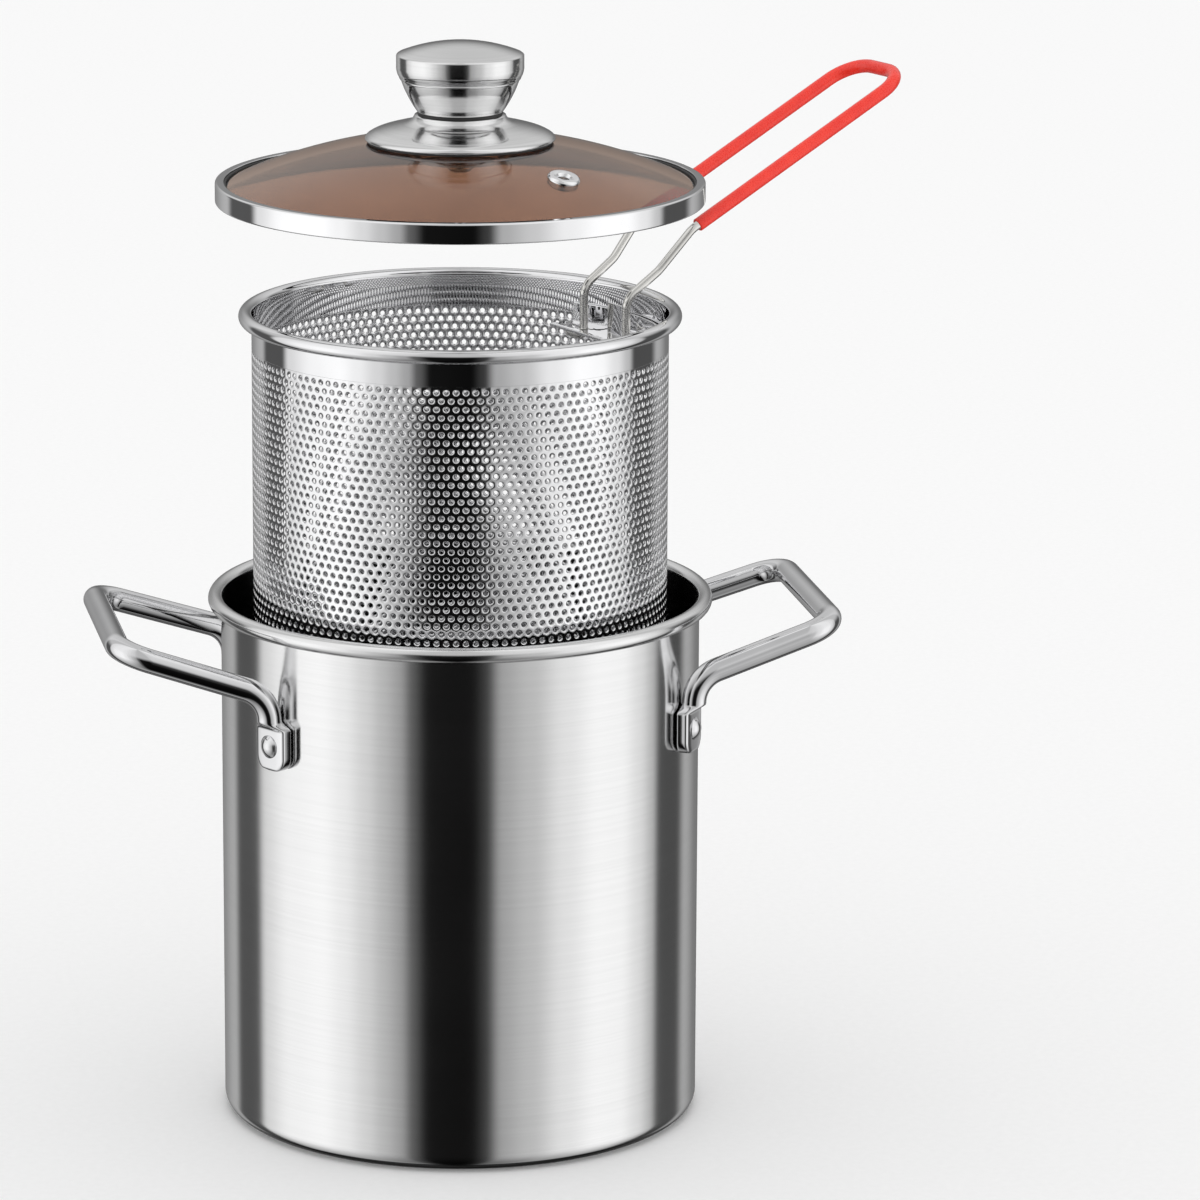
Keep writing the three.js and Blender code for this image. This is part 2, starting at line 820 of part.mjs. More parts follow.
function makeKnobInsert() {
  const bottom = bodyBottom + knobSheet + gap;
  return rectangularRing(screwRadius + insertClearance, insertRadius, bottom, bottom + insertHeight, smallSides);
}

// The dish under the glass that spreads the screw's pull, in the knob's frame.
const dishGasketTop = domeUnderside(dishRadius) - knobSeat - gap;
const dishTop = dishGasketTop - dishGasketThickness - gap;
const dishBottom = dishTop - dishDepth;

function makeKnobDish() {
  const outer = [
    [screwHole, dishBottom],
    [dishRadius * 0.68, dishBottom],
    [dishRadius * 0.86, dishBottom + dishDepth * 0.17],
    [dishRadius * 0.96, dishBottom + dishDepth * 0.55],
    [dishRadius, dishTop],
  ];
  return turned(sheetProfile(outer, dishSheet), knobSides);
}

function makeDishGasket() {
  const inner = dishRadius - dishGasketWidth;
  return rectangularRing(inner, dishRadius + gap, dishGasketTop - dishGasketThickness, dishGasketTop, knobSides);
}

function makeKnobScrew() {
  const headTop = dishBottom - gap;
  const headBottom = headTop - screwHeadHeight;
  const tip = bodyBottom + knobSheet + insertHeight - 1;
  const profile = [
    [0, headBottom],
    [screwHeadRadius * 0.65, headBottom + screwHeadHeight * 0.12],
    [screwHeadRadius, headBottom + screwHeadHeight * 0.55],
    [screwHeadRadius, headTop],
    [screwRadius, headTop],
    [screwRadius, tip],
    [0, tip],
  ];
  return turned(profile, smallSides);
}

function makeLid() {
  const lid = new THREE.Group();
  lid.position.z = lidBase;
  lid.add(piece("lid_glass", makeGlass(), brownGlass));
  lid.add(piece("lid_band", makeBand(), polishedSteel));
  lid.add(piece("lid_seal", makeSeal(), blackSilicone));

  const vent = ventFrame();
  vent.add(piece("vent_eyelet", makeVentEyelet(), polishedSteel));
  vent.add(piece("vent_washer", makeVentWasher(), polishedSteel));
  lid.add(vent);

  const knob = new THREE.Group();
  knob.position.z = knobSeat;
  knob.add(piece("knob_flange", makeKnobFlange(), polishedSteel));
  knob.add(piece("knob_flange_gasket", makeFlangeGasket(), blackSilicone));
  knob.add(piece("knob_neck_ring", makeKnobRing(), blackSilicone));
  knob.add(piece("knob_body", makeKnobBody(), polishedSteel));
  knob.add(piece("knob_cap", makeKnobCap(), polishedSteel));
  knob.add(piece("knob_insert", makeKnobInsert(), polishedSteel));
  knob.add(piece("knob_dish", makeKnobDish(), polishedSteel));
  knob.add(piece("knob_dish_gasket", makeDishGasket(), blackSilicone));
  knob.add(piece("knob_screw", makeKnobScrew(), polishedSteel));
  lid.add(knob);
  return lid;
}

// ---------------------------------------------------------------- the whole set

const fryer = new THREE.Group();
fryer.add(makePot(), makeBasket(), makeLid());

export default fryer;
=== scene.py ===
"""A stovetop deep fryer: a brushed steel pot, a perforated basket half lifted out of it on its wire
handle, and a brown glass lid with a steel band and knob held above them.

Shapes are written in millimetres about the pot's axis and turned into metres when a mesh is made.
Heights and radii come from the CAD nodes, so each piece stays where the frame has it.
"""

import math

import bmesh
import bpy
import numpy as np
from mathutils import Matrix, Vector


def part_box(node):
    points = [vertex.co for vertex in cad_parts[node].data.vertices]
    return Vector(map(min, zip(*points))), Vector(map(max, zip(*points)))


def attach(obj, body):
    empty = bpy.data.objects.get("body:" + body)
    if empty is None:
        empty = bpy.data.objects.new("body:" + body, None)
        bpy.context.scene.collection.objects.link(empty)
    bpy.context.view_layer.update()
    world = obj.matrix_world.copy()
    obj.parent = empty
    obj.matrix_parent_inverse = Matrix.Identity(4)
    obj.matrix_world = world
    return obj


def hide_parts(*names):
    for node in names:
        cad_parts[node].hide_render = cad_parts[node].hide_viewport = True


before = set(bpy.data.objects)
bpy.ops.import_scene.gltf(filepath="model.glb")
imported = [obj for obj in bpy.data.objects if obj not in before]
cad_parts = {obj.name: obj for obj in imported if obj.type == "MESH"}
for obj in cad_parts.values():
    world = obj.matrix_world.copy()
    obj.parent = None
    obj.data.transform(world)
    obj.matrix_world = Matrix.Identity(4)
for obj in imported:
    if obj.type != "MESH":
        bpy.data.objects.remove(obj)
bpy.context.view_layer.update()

MM = 0.001


class Extent:
    """A CAD node's size about the pot's axis, in millimetres."""

    def __init__(self, node):
        low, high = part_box(node)
        self.bottom = low.z / MM
        self.top = high.z / MM
        self.radius = high.x / MM
        self.centre = (low + high) / 2 / MM


# ---------------------------------------------------------------- sizes

POT = Extent("pot_body")
POT_WALL = 1.0
POT_RIM_RADIUS = 3.2
POT_RADIUS = POT.radius - 2 * POT_RIM_RADIUS + POT_WALL
POT_CORNER = 6.0

RIVET_HEAD_RADIUS = 4.8
RIVET_HEAD_HEIGHT = 2.4
RIVET_INNER_HEIGHT = 1.2
ROD_RADIUS = 5.0
ROD_GAP = 0.3
ARM_HALF_SPACING = 52.0  # at the crossbar
ROOT_HALF_SPACING = 57.0  # at the pot's wall
HANDLE_BAR = Extent("right_handle")
HANDLE_REACH = HANDLE_BAR.radius - ROD_RADIUS
HANDLE_SLOPE = math.radians(18)
HANDLE_CORNER = 14.0
HANDLE_ROOT = 14.0
TAB_HALF_WIDTH = 8.5
TAB_THICKNESS = 5.5
TAB_LENGTH = 21.0
TAB_FLAT_LENGTH = 17.5
TAB_BELOW_RIVET = 10.2
TAB_CORNER = 6.0

BASKET = Extent("basket_wall")
BASKET_SHEET = 0.6
BASKET_RIM_RADIUS = 3.0
BASKET_RADIUS = BASKET.radius - 2 * BASKET_RIM_RADIUS + BASKET_SHEET
HOLES_ROUND = 136
HOLE_ROWS = 57
HOLE_RADIUS = 1.0
HOLE_TOP_DROP = 18.0  # from the rim down to the centres of the highest row
WALL_BANDS = 5

HANDLE_DIRECTION = math.radians(21.7)
WIRE_RADIUS = 1.8
LEG_OUT = 71.0
LEG_HALF_SPACING = 16.5
KNEE_HALF_SPACING = 17.3
GRIP_HALF_SPACING = 20.0
SHOULDER_OUT = 101.2
SHOULDER_RISE = 26.3
GRIP_REACH = 108.3
GRIP_RISE = 56.3
GRIP_END_BEND = 14.0
GRIP_RADIUS = 2.85
GRIP_START = 3.0

LID = Extent("lid_band")
GLASS_THICKNESS = 4.0
GLASS_RADIUS = LID.radius - 2.4
DOME_RADIUS = 236.0
BAND_LIP = 3.7
DOME_CENTRE = LID.bottom + 6.6 - math.sqrt(DOME_RADIUS**2 - (LID.radius - BAND_LIP) ** 2)
VENT_OUT = 67.0
VENT_DIRECTION = math.radians(-61)

CAMERA_AZIMUTH = -9.5


# ---------------------------------------------------------------- node materials


def socket_set(tree, node, name, value):
    """Links a socket into an input, or sets the input's own value."""
    if isinstance(value, bpy.types.NodeSocket):
        tree.links.new(value, node.inputs[name])
    else:
        node.inputs[name].default_value = value


def add_node(tree, kind, inputs=None, **settings):
    node = tree.nodes.new("ShaderNode" + kind)
    for name, value in settings.items():
        setattr(node, name, value)
    for name, value in (inputs or {}).items():
        socket_set(tree, node, name, value)
    return node


def new_material(slot):
    """A material for one of the record's slots."""
    material = bpy.data.materials.new(f"{slot}_look")
    material["slot"] = slot
    material.use_nodes = True
    tree = material.node_tree
    shader = tree.nodes["Principled BSDF"]
    return material, tree, shader


def noise(tree, vector, scale, detail=3.0, roughness=0.5):
    """A noise's value, from 0 to 1."""
    inputs = {"Vector": vector, "Scale": scale, "Detail": detail, "Roughness": roughness}
    return add_node(tree, "TexNoise", inputs).outputs[0]


def spread(tree, value, low, high):
    """A value that ran about 0.3 to 0.7 now runs from low to high."""
    inputs = {"Value": value, "From Min": 0.3, "From Max": 0.7, "To Min": low, "To Max": high}
    return add_node(tree, "MapRange", inputs).outputs[0]


def blend_between(tree, value, dark, light):
    """A colour between two colours."""
    mix = add_node(tree, "Mix", data_type="RGBA")
    socket_set(tree, mix, "Factor", value)
    mix.inputs[6].default_value = (*dark, 1)
    mix.inputs[7].default_value = (*light, 1)
    return mix.outputs[2]


def own_position(tree):
    return add_node(tree, "TexCoord").outputs["Object"]


def turned_position(tree, around, across):
    """Stretches a texture round the pot's axis, so that it lies in lines as turning and brushing do."""
    parts = add_node(tree, "SeparateXYZ", {"Vector": own_position(tree)})
    x, y, z = parts.outputs
    squares = [add_node(tree, "Math", {0: v, 1: v}, operation="MULTIPLY").outputs[0] for v in (x, y)]
    summed = add_node(tree, "Math", {0: squares[0], 1: squares[1]}, operation="ADD").outputs[0]
    radius = add_node(tree, "Math", {0: summed}, operation="SQRT").outputs[0]
    run = add_node(tree, "Math", {0: radius, 1: z}, operation="ADD").outputs[0]
    scaled = [
        add_node(tree, "Math", {0: v, 1: s}, operation="MULTIPLY").outputs[0]
        for v, s in ((x, around), (y, around), (run, across))
    ]
    return add_node(tree, "CombineXYZ", {0: scaled[0], 1: scaled[1], 2: scaled[2]}).outputs[0]


def bumped(tree, shader, height, strength, distance):
    inputs = {"Height": height, "Strength": strength, "Distance": distance}
    bump = add_node(tree, "Bump", inputs)
    socket_set(tree, shader, "Normal", bump.outputs[0])


def turned_steel(name, light, dark, roughness, line_strength, anisotropic=0.0):
    """Steel with fine lines round the pot's axis."""
    material, tree, shader = new_material(name)
    fine = noise(tree, turned_position(tree, 5, 3200), 1.0)
    broad = noise(tree, turned_position(tree, 4, 700), 1.0, 4.0)
    cloud = noise(tree, own_position(tree), 18.0)
    shade = add_node(tree, "Math", {0: fine, 1: broad}, operation="ADD").outputs[0]
    half = add_node(tree, "Math", {0: shade, 1: 0.5}, operation="MULTIPLY").outputs[0]
    socket_set(tree, shader, "Base Color", blend_between(tree, spread(tree, half, 0, 1), dark, light))
    socket_set(tree, shader, "Roughness", spread(tree, cloud, roughness * 0.9, roughness * 1.1))
    shader.inputs["Metallic"].default_value = 1.0
    bumped(tree, shader, half, line_strength, 0.00005)
    if anisotropic:
        shader.inputs["Anisotropic"].default_value = anisotropic
        tangent = add_node(tree, "Tangent", direction_type="RADIAL", axis="Z")
        socket_set(tree, shader, "Tangent", tangent.outputs[0])
    return material


def polished_steel(name, light, roughness, ripple=0.02):
    """Mirror-polished steel: faint waves in the sheet, hairline scratches and polishing haze."""
    material, tree, shader = new_material(name)
    position = own_position(tree)
    waves = noise(tree, position, 90.0, 2.0)
    haze = noise(tree, position, 35.0, 5.0)
    scratches = noise(tree, turned_position(tree, 30, 1500), 1.0, 2.0)
    dark = tuple(value * 0.93 for value in light)
    socket_set(tree, shader, "Base Color", blend_between(tree, spread(tree, haze, 0, 1), dark, light))
    socket_set(tree, shader, "Roughness", spread(tree, haze, roughness * 0.6, roughness * 1.4))
    shader.inputs["Metallic"].default_value = 1.0
    both = add_node(tree, "Math", {0: scratches, 1: 0.06, 2: waves}, operation="MULTIPLY_ADD")
    bumped(tree, shader, both.outputs[0], ripple, 0.0004)
    return material


def smoked_glass(name):
    """Amber-brown tempered glass, a little uneven in its polish."""
    material, tree, shader = new_material(name)
    cloud = noise(tree, own_position(tree), 25.0)
    tint = blend_between(tree, spread(tree, cloud, 0, 1), (0.2, 0.09, 0.05), (0.25, 0.115, 0.064))
    socket_set(tree, shader, "Base Color", tint)
    socket_set(tree, shader, "Roughness", spread(tree, cloud, 0.0, 0.03))
    shader.inputs["Transmission Weight"].default_value = 1.0
    shader.inputs["IOR"].default_value = 1.5
    shader.inputs["Specular Tint"].default_value = (1.0, 0.95, 0.93, 1.0)
    return material


def dipped_vinyl(name):
    """A glossy red sleeve, dipped on hot, so its skin has soft ripples and pores."""
    material, tree, shader = new_material(name)
    position = own_position(tree)
    ripple = noise(tree, position, 140.0, 2.0)
    pores = noise(tree, position, 1800.0, 2.0)
    colour = blend_between(tree, spread(tree, ripple, 0, 1), (0.84, 0.02, 0.008), (0.93, 0.035, 0.014))
    socket_set(tree, shader, "Base Color", colour)
    socket_set(tree, shader, "Roughness", spread(tree, pores, 0.22, 0.36))
    shader.inputs["Coat Weight"].default_value = 0.35
    shader.inputs["Coat Roughness"].default_value = 0.12
    both = add_node(tree, "Math", {0: pores, 1: 0.15, 2: ripple}, operation="MULTIPLY_ADD")
    bumped(tree, shader, both.outputs[0], 0.12, 0.0004)
    return material


def moulded_silicone(name):
    """Black silicone with the fine matt grain of its mould."""
    material, tree, shader = new_material(name)
    position = own_position(tree)
    grain = noise(tree, position, 2200.0, 3.0)
    cloud = noise(tree, position, 60.0)
    colour = blend_between(tree, spread(tree, cloud, 0, 1), (0.012, 0.012, 0.012), (0.028, 0.027, 0.026))
    socket_set(tree, shader, "Base Color", colour)
    socket_set(tree, shader, "Roughness", spread(tree, grain, 0.42, 0.62))
    bumped(tree, shader, grain, 0.25, 0.0001)
    return material


POT_STEEL = turned_steel("pot_steel", (0.84, 0.84, 0.84), (0.79, 0.79, 0.79), 0.13, 0.015)
# The pot's inside: steel painted near black, a painted shade that stands in for the shadow deep in the pot.
POT_INSIDE_PAINTED_SHADE = turned_steel("pot_steel", (0.1, 0.1, 0.1), (0.07, 0.07, 0.07), 0.2, 0.05)
HANDLE_STEEL = polished_steel("handle_steel", (0.82, 0.82, 0.83), 0.04, 0.01)
BASKET_STEEL = polished_steel("basket_steel", (0.88, 0.88, 0.89), 0.03, 0.008)
WIRE_STEEL = polished_steel("wire_steel", (0.8, 0.79, 0.76), 0.12)
LID_STEEL = polished_steel("lid_steel", (0.94, 0.94, 0.95), 0.04, 0.005)
KNOB_STEEL = turned_steel("knob_steel", (0.86, 0.86, 0.86), (0.77, 0.77, 0.77), 0.12, 0.03, 0.3)
LID_GLASS = smoked_glass("lid_glass")
GRIP_RED = dipped_vinyl("grip_red")
SEAL_BLACK = moulded_silicone("seal_black")


# ---------------------------------------------------------------- outlines


def arc(centre, radius, start, end, steps):
    """Points on an arc, angles in degrees from the first axis."""
    angles = np.radians(np.linspace(start, end, steps + 1))
    return [(centre[0] + radius * math.cos(a), centre[1] + radius * math.sin(a)) for a in angles]


def rounded(corners, closed=True):
    """An outline whose corners (x, y, radius) are rounded, with a point close to each end of a curve
    that keeps the flats beside it flat when the surface is shaded smoothly."""
    count = len(corners)
    outline = []
    for i, corner in enumerate(corners):
        here = Vector(corner[:2])
        radius = corner[2] if len(corner) > 2 else 0.0
        at_end = not closed and i in (0, count - 1)
        if at_end or radius == 0.0:
            outline.append(tuple(here))
            continue
        to_last = (Vector(corners[i - 1][:2]) - here).normalized()
        to_next = (Vector(corners[(i + 1) % count][:2]) - here).normalized()
        opening = to_last.angle(to_next)
        reach = radius / math.tan(opening / 2)
        centre = here + (to_last + to_next).normalized() * (radius / math.sin(opening / 2))
        first = here + to_last * reach - centre
        last = here + to_next * reach - centre
        turn = math.atan2(first.cross(last), first.dot(last))
        steps = max(3, round(abs(math.degrees(turn)) / 14))
        hold = 0.12 * reach
        outline.append(tuple(here + to_last * (reach + hold)))
        for step in range(steps + 1):
            angle = turn * step / steps
            spin = Vector(
                (
                    first.x * math.cos(angle) - first.y * math.sin(angle),
                    first.x * math.sin(angle) + first.y * math.cos(angle),
                )
            )
            outline.append(tuple(centre + spin))
        outline.append(tuple(here + to_next * (reach + hold)))
    return outline


def sheet(outer, thickness):
    """The closed outline of a sheet whose outer face follows the points, counterclockwise."""
    inner = []
    for i, (x, y) in enumerate(outer):
        before = Vector(outer[max(i - 1, 0)])
        after = Vector(outer[min(i + 1, len(outer) - 1)])
        run = (after - before).normalized()
        inner.append((max(0.0, x - thickness * run.y), y + thickness * run.x))
    return list(outer) + inner[::-1]


def smooth_curve(points, steps=6):
    """A smooth line through every point (a Catmull-Rom spline)."""
    p = [Vector(points[0]) * 2 - Vector(points[1]), *map(Vector, points)]
    p.append(Vector(points[-1]) * 2 - Vector(points[-2]))
    line = []
    for i in range(1, len(p) - 2):
        for step in range(steps):
            t = step / steps
            line.append(
                tuple(
                    0.5
                    * (
                        2 * p[i]
                        + (p[i + 1] - p[i - 1]) * t
                        + (2 * p[i - 1] - 5 * p[i] + 4 * p[i + 1] - p[i + 2]) * t**2
                        + (3 * p[i] - p[i - 1] - 3 * p[i + 1] + p[i + 2]) * t**3
                    )
                )
            )
    line.append(tuple(points[-1]))
    return line


def rolled_rim(inner_radius, wall, roll_radius, top):
    """The rolled edge of a wall, from where it leaves the wall's outside round to its inside."""
    leaves = math.degrees(math.acos((roll_radius - wall) / roll_radius))
    centre = (inner_radius + roll_radius, top - roll_radius)
    return arc(centre, roll_radius, 180 + leaves, 540, 28)


# ---------------------------------------------------------------- solid shapes: vertices and faces


def turned(profile, sides=160):
    """A shape of revolution about Z from its (radius, height) points."""
    vertices, rings = [], []
    for radius, height in profile:
        if radius < 1e-6:
            rings.append([len(vertices)] * sides)
            vertices.append((0.0, 0.0, height))
            continue
        rings.append(list(range(len(vertices), len(vertices) + sides)))
        for step in range(sides):
            angle = 2 * math.pi * step / sides
            vertices.append((radius * math.cos(angle), radius * math.sin(angle), height))
    on_axis = profile[0][0] < 1e-6 and profile[-1][0] < 1e-6
    pairs = list(zip(rings, rings[1:]))
    if not on_axis:
        pairs.append((rings[-1], rings[0]))
    faces = []
    for lower, upper in pairs:
        for i in range(sides):
            j = (i + 1) % sides
            corners = [lower[i], lower[j], upper[j], upper[i]]
            faces.append(tuple(dict.fromkeys(corners)))
    return np.array(vertices), [face for face in faces if len(face) > 2]


def lofted(sections):
    """A skin over closed sections of the same number of points, with both ends filled."""
    sections = np.asarray(sections)
    count, sides = sections.shape[:2]
    faces = []
    for ring in range(count - 1):
        for i in range(sides):
            j = (i + 1) % sides
            a, b = ring * sides, (ring + 1) * sides
            faces.append((a + i, a + j, b + j, b + i))
    faces.append(tuple(range(sides - 1, -1, -1)))
    faces.append(tuple(range((count - 1) * sides, count * sides)))
    return sections.reshape(-1, 3), faces


def bent_line(corners, step_degrees=6.0, spacing=None):
    """Points along straight runs and round bends. Each corner is (point, bend radius)."""
    places = [Vector(place) for place, _ in corners]
    line = [places[0]]
    for i in range(1, len(places) - 1):
        before = (places[i] - places[i - 1]).normalized()
        after = (places[i + 1] - places[i]).normalized()
        turn = before.angle(after)
        bend = corners[i][1]
        start = places[i] - before * (bend * math.tan(turn / 2))
        inwards = (after - before * after.dot(before)).normalized()
        steps = max(2, math.ceil(math.degrees(turn) / step_degrees))
        for step in range(steps + 1):
            angle = turn * step / steps
            line.append(start + before * bend * math.sin(angle) + inwards * bend * (1 - math.cos(angle)))
    line.append(places[-1])
    if spacing is None:
        return line
    dense = []
    for a, b in zip(line, line[1:]):
        pieces = max(1, round((b - a).length / spacing))
        dense += [a.lerp(b, k / pieces) for k in range(pieces)]
    return [*dense, line[-1]]


def frames_along(line):
    """At each point of a line: the point, and two directions square to the line that never twist."""
    tangents = []
    for i in range(len(line)):
        before = line[max(i - 1, 0)]
        after = line[min(i + 1, len(line) - 1)]
        tangents.append((after - before).normalized())
    side = tangents[0].orthogonal().normalized()
    result = []
    for point, tangent in zip(line, tangents):
        side = (side - tangent * side.dot(tangent)).normalized()
        result.append((point, side, tangent.cross(side)))
    return result


def ring_at(station, radius, sides):
    point, side, up = station
    angles = [2 * math.pi * k / sides for k in range(sides)]
    return [tuple(point + side * radius * math.cos(a) + up * radius * math.sin(a)) for a in angles]


ROD_END_STEPS = 5


def rod_end(station, beyond, radius, over, sides):
    """Rings from the end of a rod inwards, each a step further round the rounding of the end."""
    point, side, up = station
    inwards = (beyond - point).normalized()
    rings = []
    for step in range(ROD_END_STEPS):
        angle = math.pi / 2 * (1 - step / ROD_END_STEPS)
        centre = point + inwards * (over * (1 - math.sin(angle)))
        rings.append(ring_at((centre, side, up), radius - over * (1 - math.cos(angle)), sides))
    return rings


def rod(line, radius, sides, over):
    """A round bar along a line, its ends rounded over by a length."""
    stations = frames_along(line)
    start = rod_end(stations[0], stations[1][0], radius, over, sides)
    end = rod_end(stations[-1], stations[-2][0], radius, over, sides)
    body = [s for s in stations if (s[0] - line[0]).length > over and (s[0] - line[-1]).length > over]
    return lofted([*start, *(ring_at(s, radius, sides) for s in body), *reversed(end)])


def sleeve(line, radius, bore, sides=32):
    """A tube along a line with softly rounded ends."""
    stations = frames_along(line)
    edge = (radius - bore) / 2
    middle = bore + edge

    def end_rings(station, inwards):
        point, side, up = station
        rings = []
        for step in range(7):
            angle = math.pi * step / 6
            place = point + inwards * edge * (1 - math.sin(angle))
            rings.append(ring_at((place, side, up), middle - edge * math.cos(angle), sides))
        return rings

    first = end_rings(stations[0], (line[1] - line[0]).normalized())
    last = end_rings(stations[-1], (line[-2] - line[-1]).normalized())[::-1]
    outer = [ring_at(s, radius, sides) for s in stations[1:-1]]
    inner = [ring_at(s, bore, sides) for s in stations[-2:0:-1]]
    sections = np.array([*first, *outer, *last, *inner])
    count = len(sections)
    faces = []
    for ring in range(count):
        a, b = ring * sides, ((ring + 1) % count) * sides
        for i in range(sides):
            j = (i + 1) % sides
            faces.append((a + i, a + j, b + j, b + i))
    return sections.reshape(-1, 3), faces


def turned_about(vertices, angle):
    """Turns points about the pot's axis."""
    c, s = math.cos(angle), math.sin(angle)
    spin = np.array([[c, s, 0], [-s, c, 0], [0, 0, 1]])
    return np.asarray(vertices) @ spin


# ---------------------------------------------------------------- making a piece


def make_piece(name, shape, material, body, nodes=()):
    """A smooth-shaded piece from vertices in millimetres, riding on a body in place of CAD nodes."""
    vertices, faces = shape
    mesh = bpy.data.meshes.new(name)
    mesh.from_pydata((np.asarray(vertices) * MM).tolist(), [], faces)
    cleaned = bmesh.new()
    cleaned.from_mesh(mesh)
    bmesh.ops.recalc_face_normals(cleaned, faces=cleaned.faces)
    cleaned.to_mesh(mesh)
    cleaned.free()
    mesh.shade_smooth()
    mesh.materials.append(material)
    piece = bpy.data.objects.new(name, mesh)
    bpy.context.scene.collection.objects.link(piece)
    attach(piece, body)
    if nodes:
        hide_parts(*nodes)
    return piece


# ---------------------------------------------------------------- pot


def make_pot_body():
    inner = POT_RADIUS - POT_WALL
    turn = POT_RADIUS - POT_CORNER
    roll = rolled_rim(inner, POT_WALL, POT_RIM_RADIUS, POT.top)
    profile = [
        (0, 0),
        (turn - 1, 0),
        *arc((turn, POT_CORNER), POT_CORNER, 270, 360, 10),
        (POT_RADIUS, POT_CORNER + 1),
        (POT_RADIUS, roll[0][1] - 0.1),
        *roll,
        (inner, POT.top - 10),
        (inner, POT_CORNER + 1),
        *arc((turn, POT_CORNER), POT_CORNER - POT_WALL, 0, -90, 10),
        (turn - 1, POT_WALL),
        (0, POT_WALL),
    ]
    shell = make_piece("pot_shell", turned(profile, 256), POT_STEEL, "pot", ["pot_body"])
    shell.data.materials.append(POT_INSIDE_PAINTED_SHADE)
    # The inner wall and inner floor take the dark steel, painted shade for the inside of the pot.
    for face in shell.data.polygons:
        out, up = face.center.xy.length / MM, face.center.z / MM
        if out < inner + 0.3 and POT_WALL / 2 < up < POT.top - POT_RIM_RADIUS:
            face.material_index = 1


ROD_AXIS = POT_RADIUS + ROD_GAP + ROD_RADIUS
TAB_ANGLE = math.asin(ROOT_HALF_SPACING / ROD_AXIS)
RIVET_HEIGHT = Extent("right_front_rivet").centre.z
TAB_BOTTOM = RIVET_HEIGHT - TAB_BELOW_RIVET


def smoothstep(value, low, high):
    share = min(max((value - low) / (high - low), 0.0), 1.0)
    return share * share * (3 - 2 * share)


def pressed(section, side):
    """Presses one round section of the rod into the flat tab that lies on the pot's wall."""
    height = section[0][2]
    share = 1 - smoothstep(height, TAB_BOTTOM + TAB_FLAT_LENGTH, TAB_BOTTOM + TAB_LENGTH)
    if share == 0:
        return section
    outwards = Vector((math.cos(TAB_ANGLE), side * math.sin(TAB_ANGLE)))
    along = Vector((-outwards.y, outwards.x))
    centre = outwards * ROD_AXIS
    half = TAB_THICKNESS / 2
    rise = height - TAB_BOTTOM
    corner = TAB_CORNER
    width = TAB_HALF_WIDTH
    if rise < corner:
        width -= corner - math.sqrt(max(corner**2 - (corner - rise) ** 2, 0.0))
    soften = 0.9
    depth = half
    if rise < soften:
        depth -= soften - math.sqrt(max(soften**2 - (soften - rise) ** 2, 0.0))
    result = []
    for x, y, z in section:
        offset = Vector((x, y)) - centre
        angle = math.atan2(offset.dot(outwards), offset.dot(along))
        c, s = math.cos(angle), math.sin(angle)
        flat_x = math.copysign(abs(c) ** 0.34, c) * width
        flat_y = math.copysign(abs(s) ** 0.34, s) * depth - (ROD_RADIUS - half)
        round_x = offset.dot(along)
        round_y = offset.dot(outwards)
        place = (
            centre
            + along * (round_x + (flat_x - round_x) * share)
            + outwards * (round_y + (flat_y - round_y) * share)
        )
        result.append((place.x, place.y, z))
    return result


def make_side_handle(name, turn):
    wall = math.cos(TAB_ANGLE) * ROD_AXIS
    bar_height = HANDLE_BAR.top - ROD_RADIUS
    arm = math.hypot(HANDLE_REACH - wall, ROOT_HALF_SPACING - ARM_HALF_SPACING)
    root = bar_height - arm * math.tan(HANDLE_SLOPE)
    half = [
        ((wall, ROOT_HALF_SPACING, TAB_BOTTOM), 0),
        ((wall, ROOT_HALF_SPACING, root), HANDLE_ROOT),
        ((HANDLE_REACH, ARM_HALF_SPACING, bar_height), HANDLE_CORNER),
    ]
    near = [((x, -y, z), bend) for (x, y, z), bend in half]
    line = bent_line([*near, *half[::-1]], 5.0, 0.7)
    sections = []
    for station in frames_along(line):
        section = ring_at(station, ROD_RADIUS, 56)
        side = math.copysign(1, station[0].y)
        near_wall = abs(station[0].x - wall) < 0.01
        sections.append(pressed(section, side) if near_wall else section)
    vertices, faces = lofted(sections)
    shape = turned_about(vertices, turn), faces
    make_piece(f"{name}_loop", shape, HANDLE_STEEL, "pot", [f"{name}_handle"])


def rivet_profile(inner_face, outer_face):
    """The rivet along its own axis: a low flat head inside the pot and a domed head outside."""
    head = RIVET_HEAD_RADIUS
    crown = (RIVET_HEAD_HEIGHT**2 + head**2) / (2 * RIVET_HEAD_HEIGHT)
    edge = math.degrees(math.asin(head / crown))
    dome = arc((0, outer_face + RIVET_HEAD_HEIGHT - crown), crown, 90 - edge, 90, 8)
    low = inner_face - RIVET_INNER_HEIGHT
    return [
        (0, low),
        *rounded([(0, low), (head, low, 0.5), (head, inner_face, 0.1), (2.5, inner_face)], closed=False)[1:],
        (2.5, outer_face),
        (head - 0.1, outer_face),
        (head, outer_face + 0.25),
        *dome[1:-1],
        (0, outer_face + RIVET_HEAD_HEIGHT),
    ]


def make_rivet(name, angle):
    inner = POT_RADIUS - POT_WALL - 0.3
    outer = POT_RADIUS + ROD_GAP + TAB_THICKNESS - 0.05
    vertices, faces = turned(rivet_profile(inner, outer), 48)
    lying = np.column_stack([vertices[:, 2], vertices[:, 0], vertices[:, 1]])
    placed = turned_about(lying, angle) + (0, 0, RIVET_HEIGHT)
    make_piece(f"{name}_pin", (placed, faces), HANDLE_STEEL, "pot", [f"{name}_rivet"])


def make_pot():
    make_pot_body()
    for name, turn in (("right", 0.0), ("left", math.pi)):
        make_side_handle(name, turn)
    make_rivet("right_front", -TAB_ANGLE)
    make_rivet("right_back", TAB_ANGLE)
    make_rivet("left_front", math.pi + TAB_ANGLE)
    make_rivet("left_back", math.pi - TAB_ANGLE)


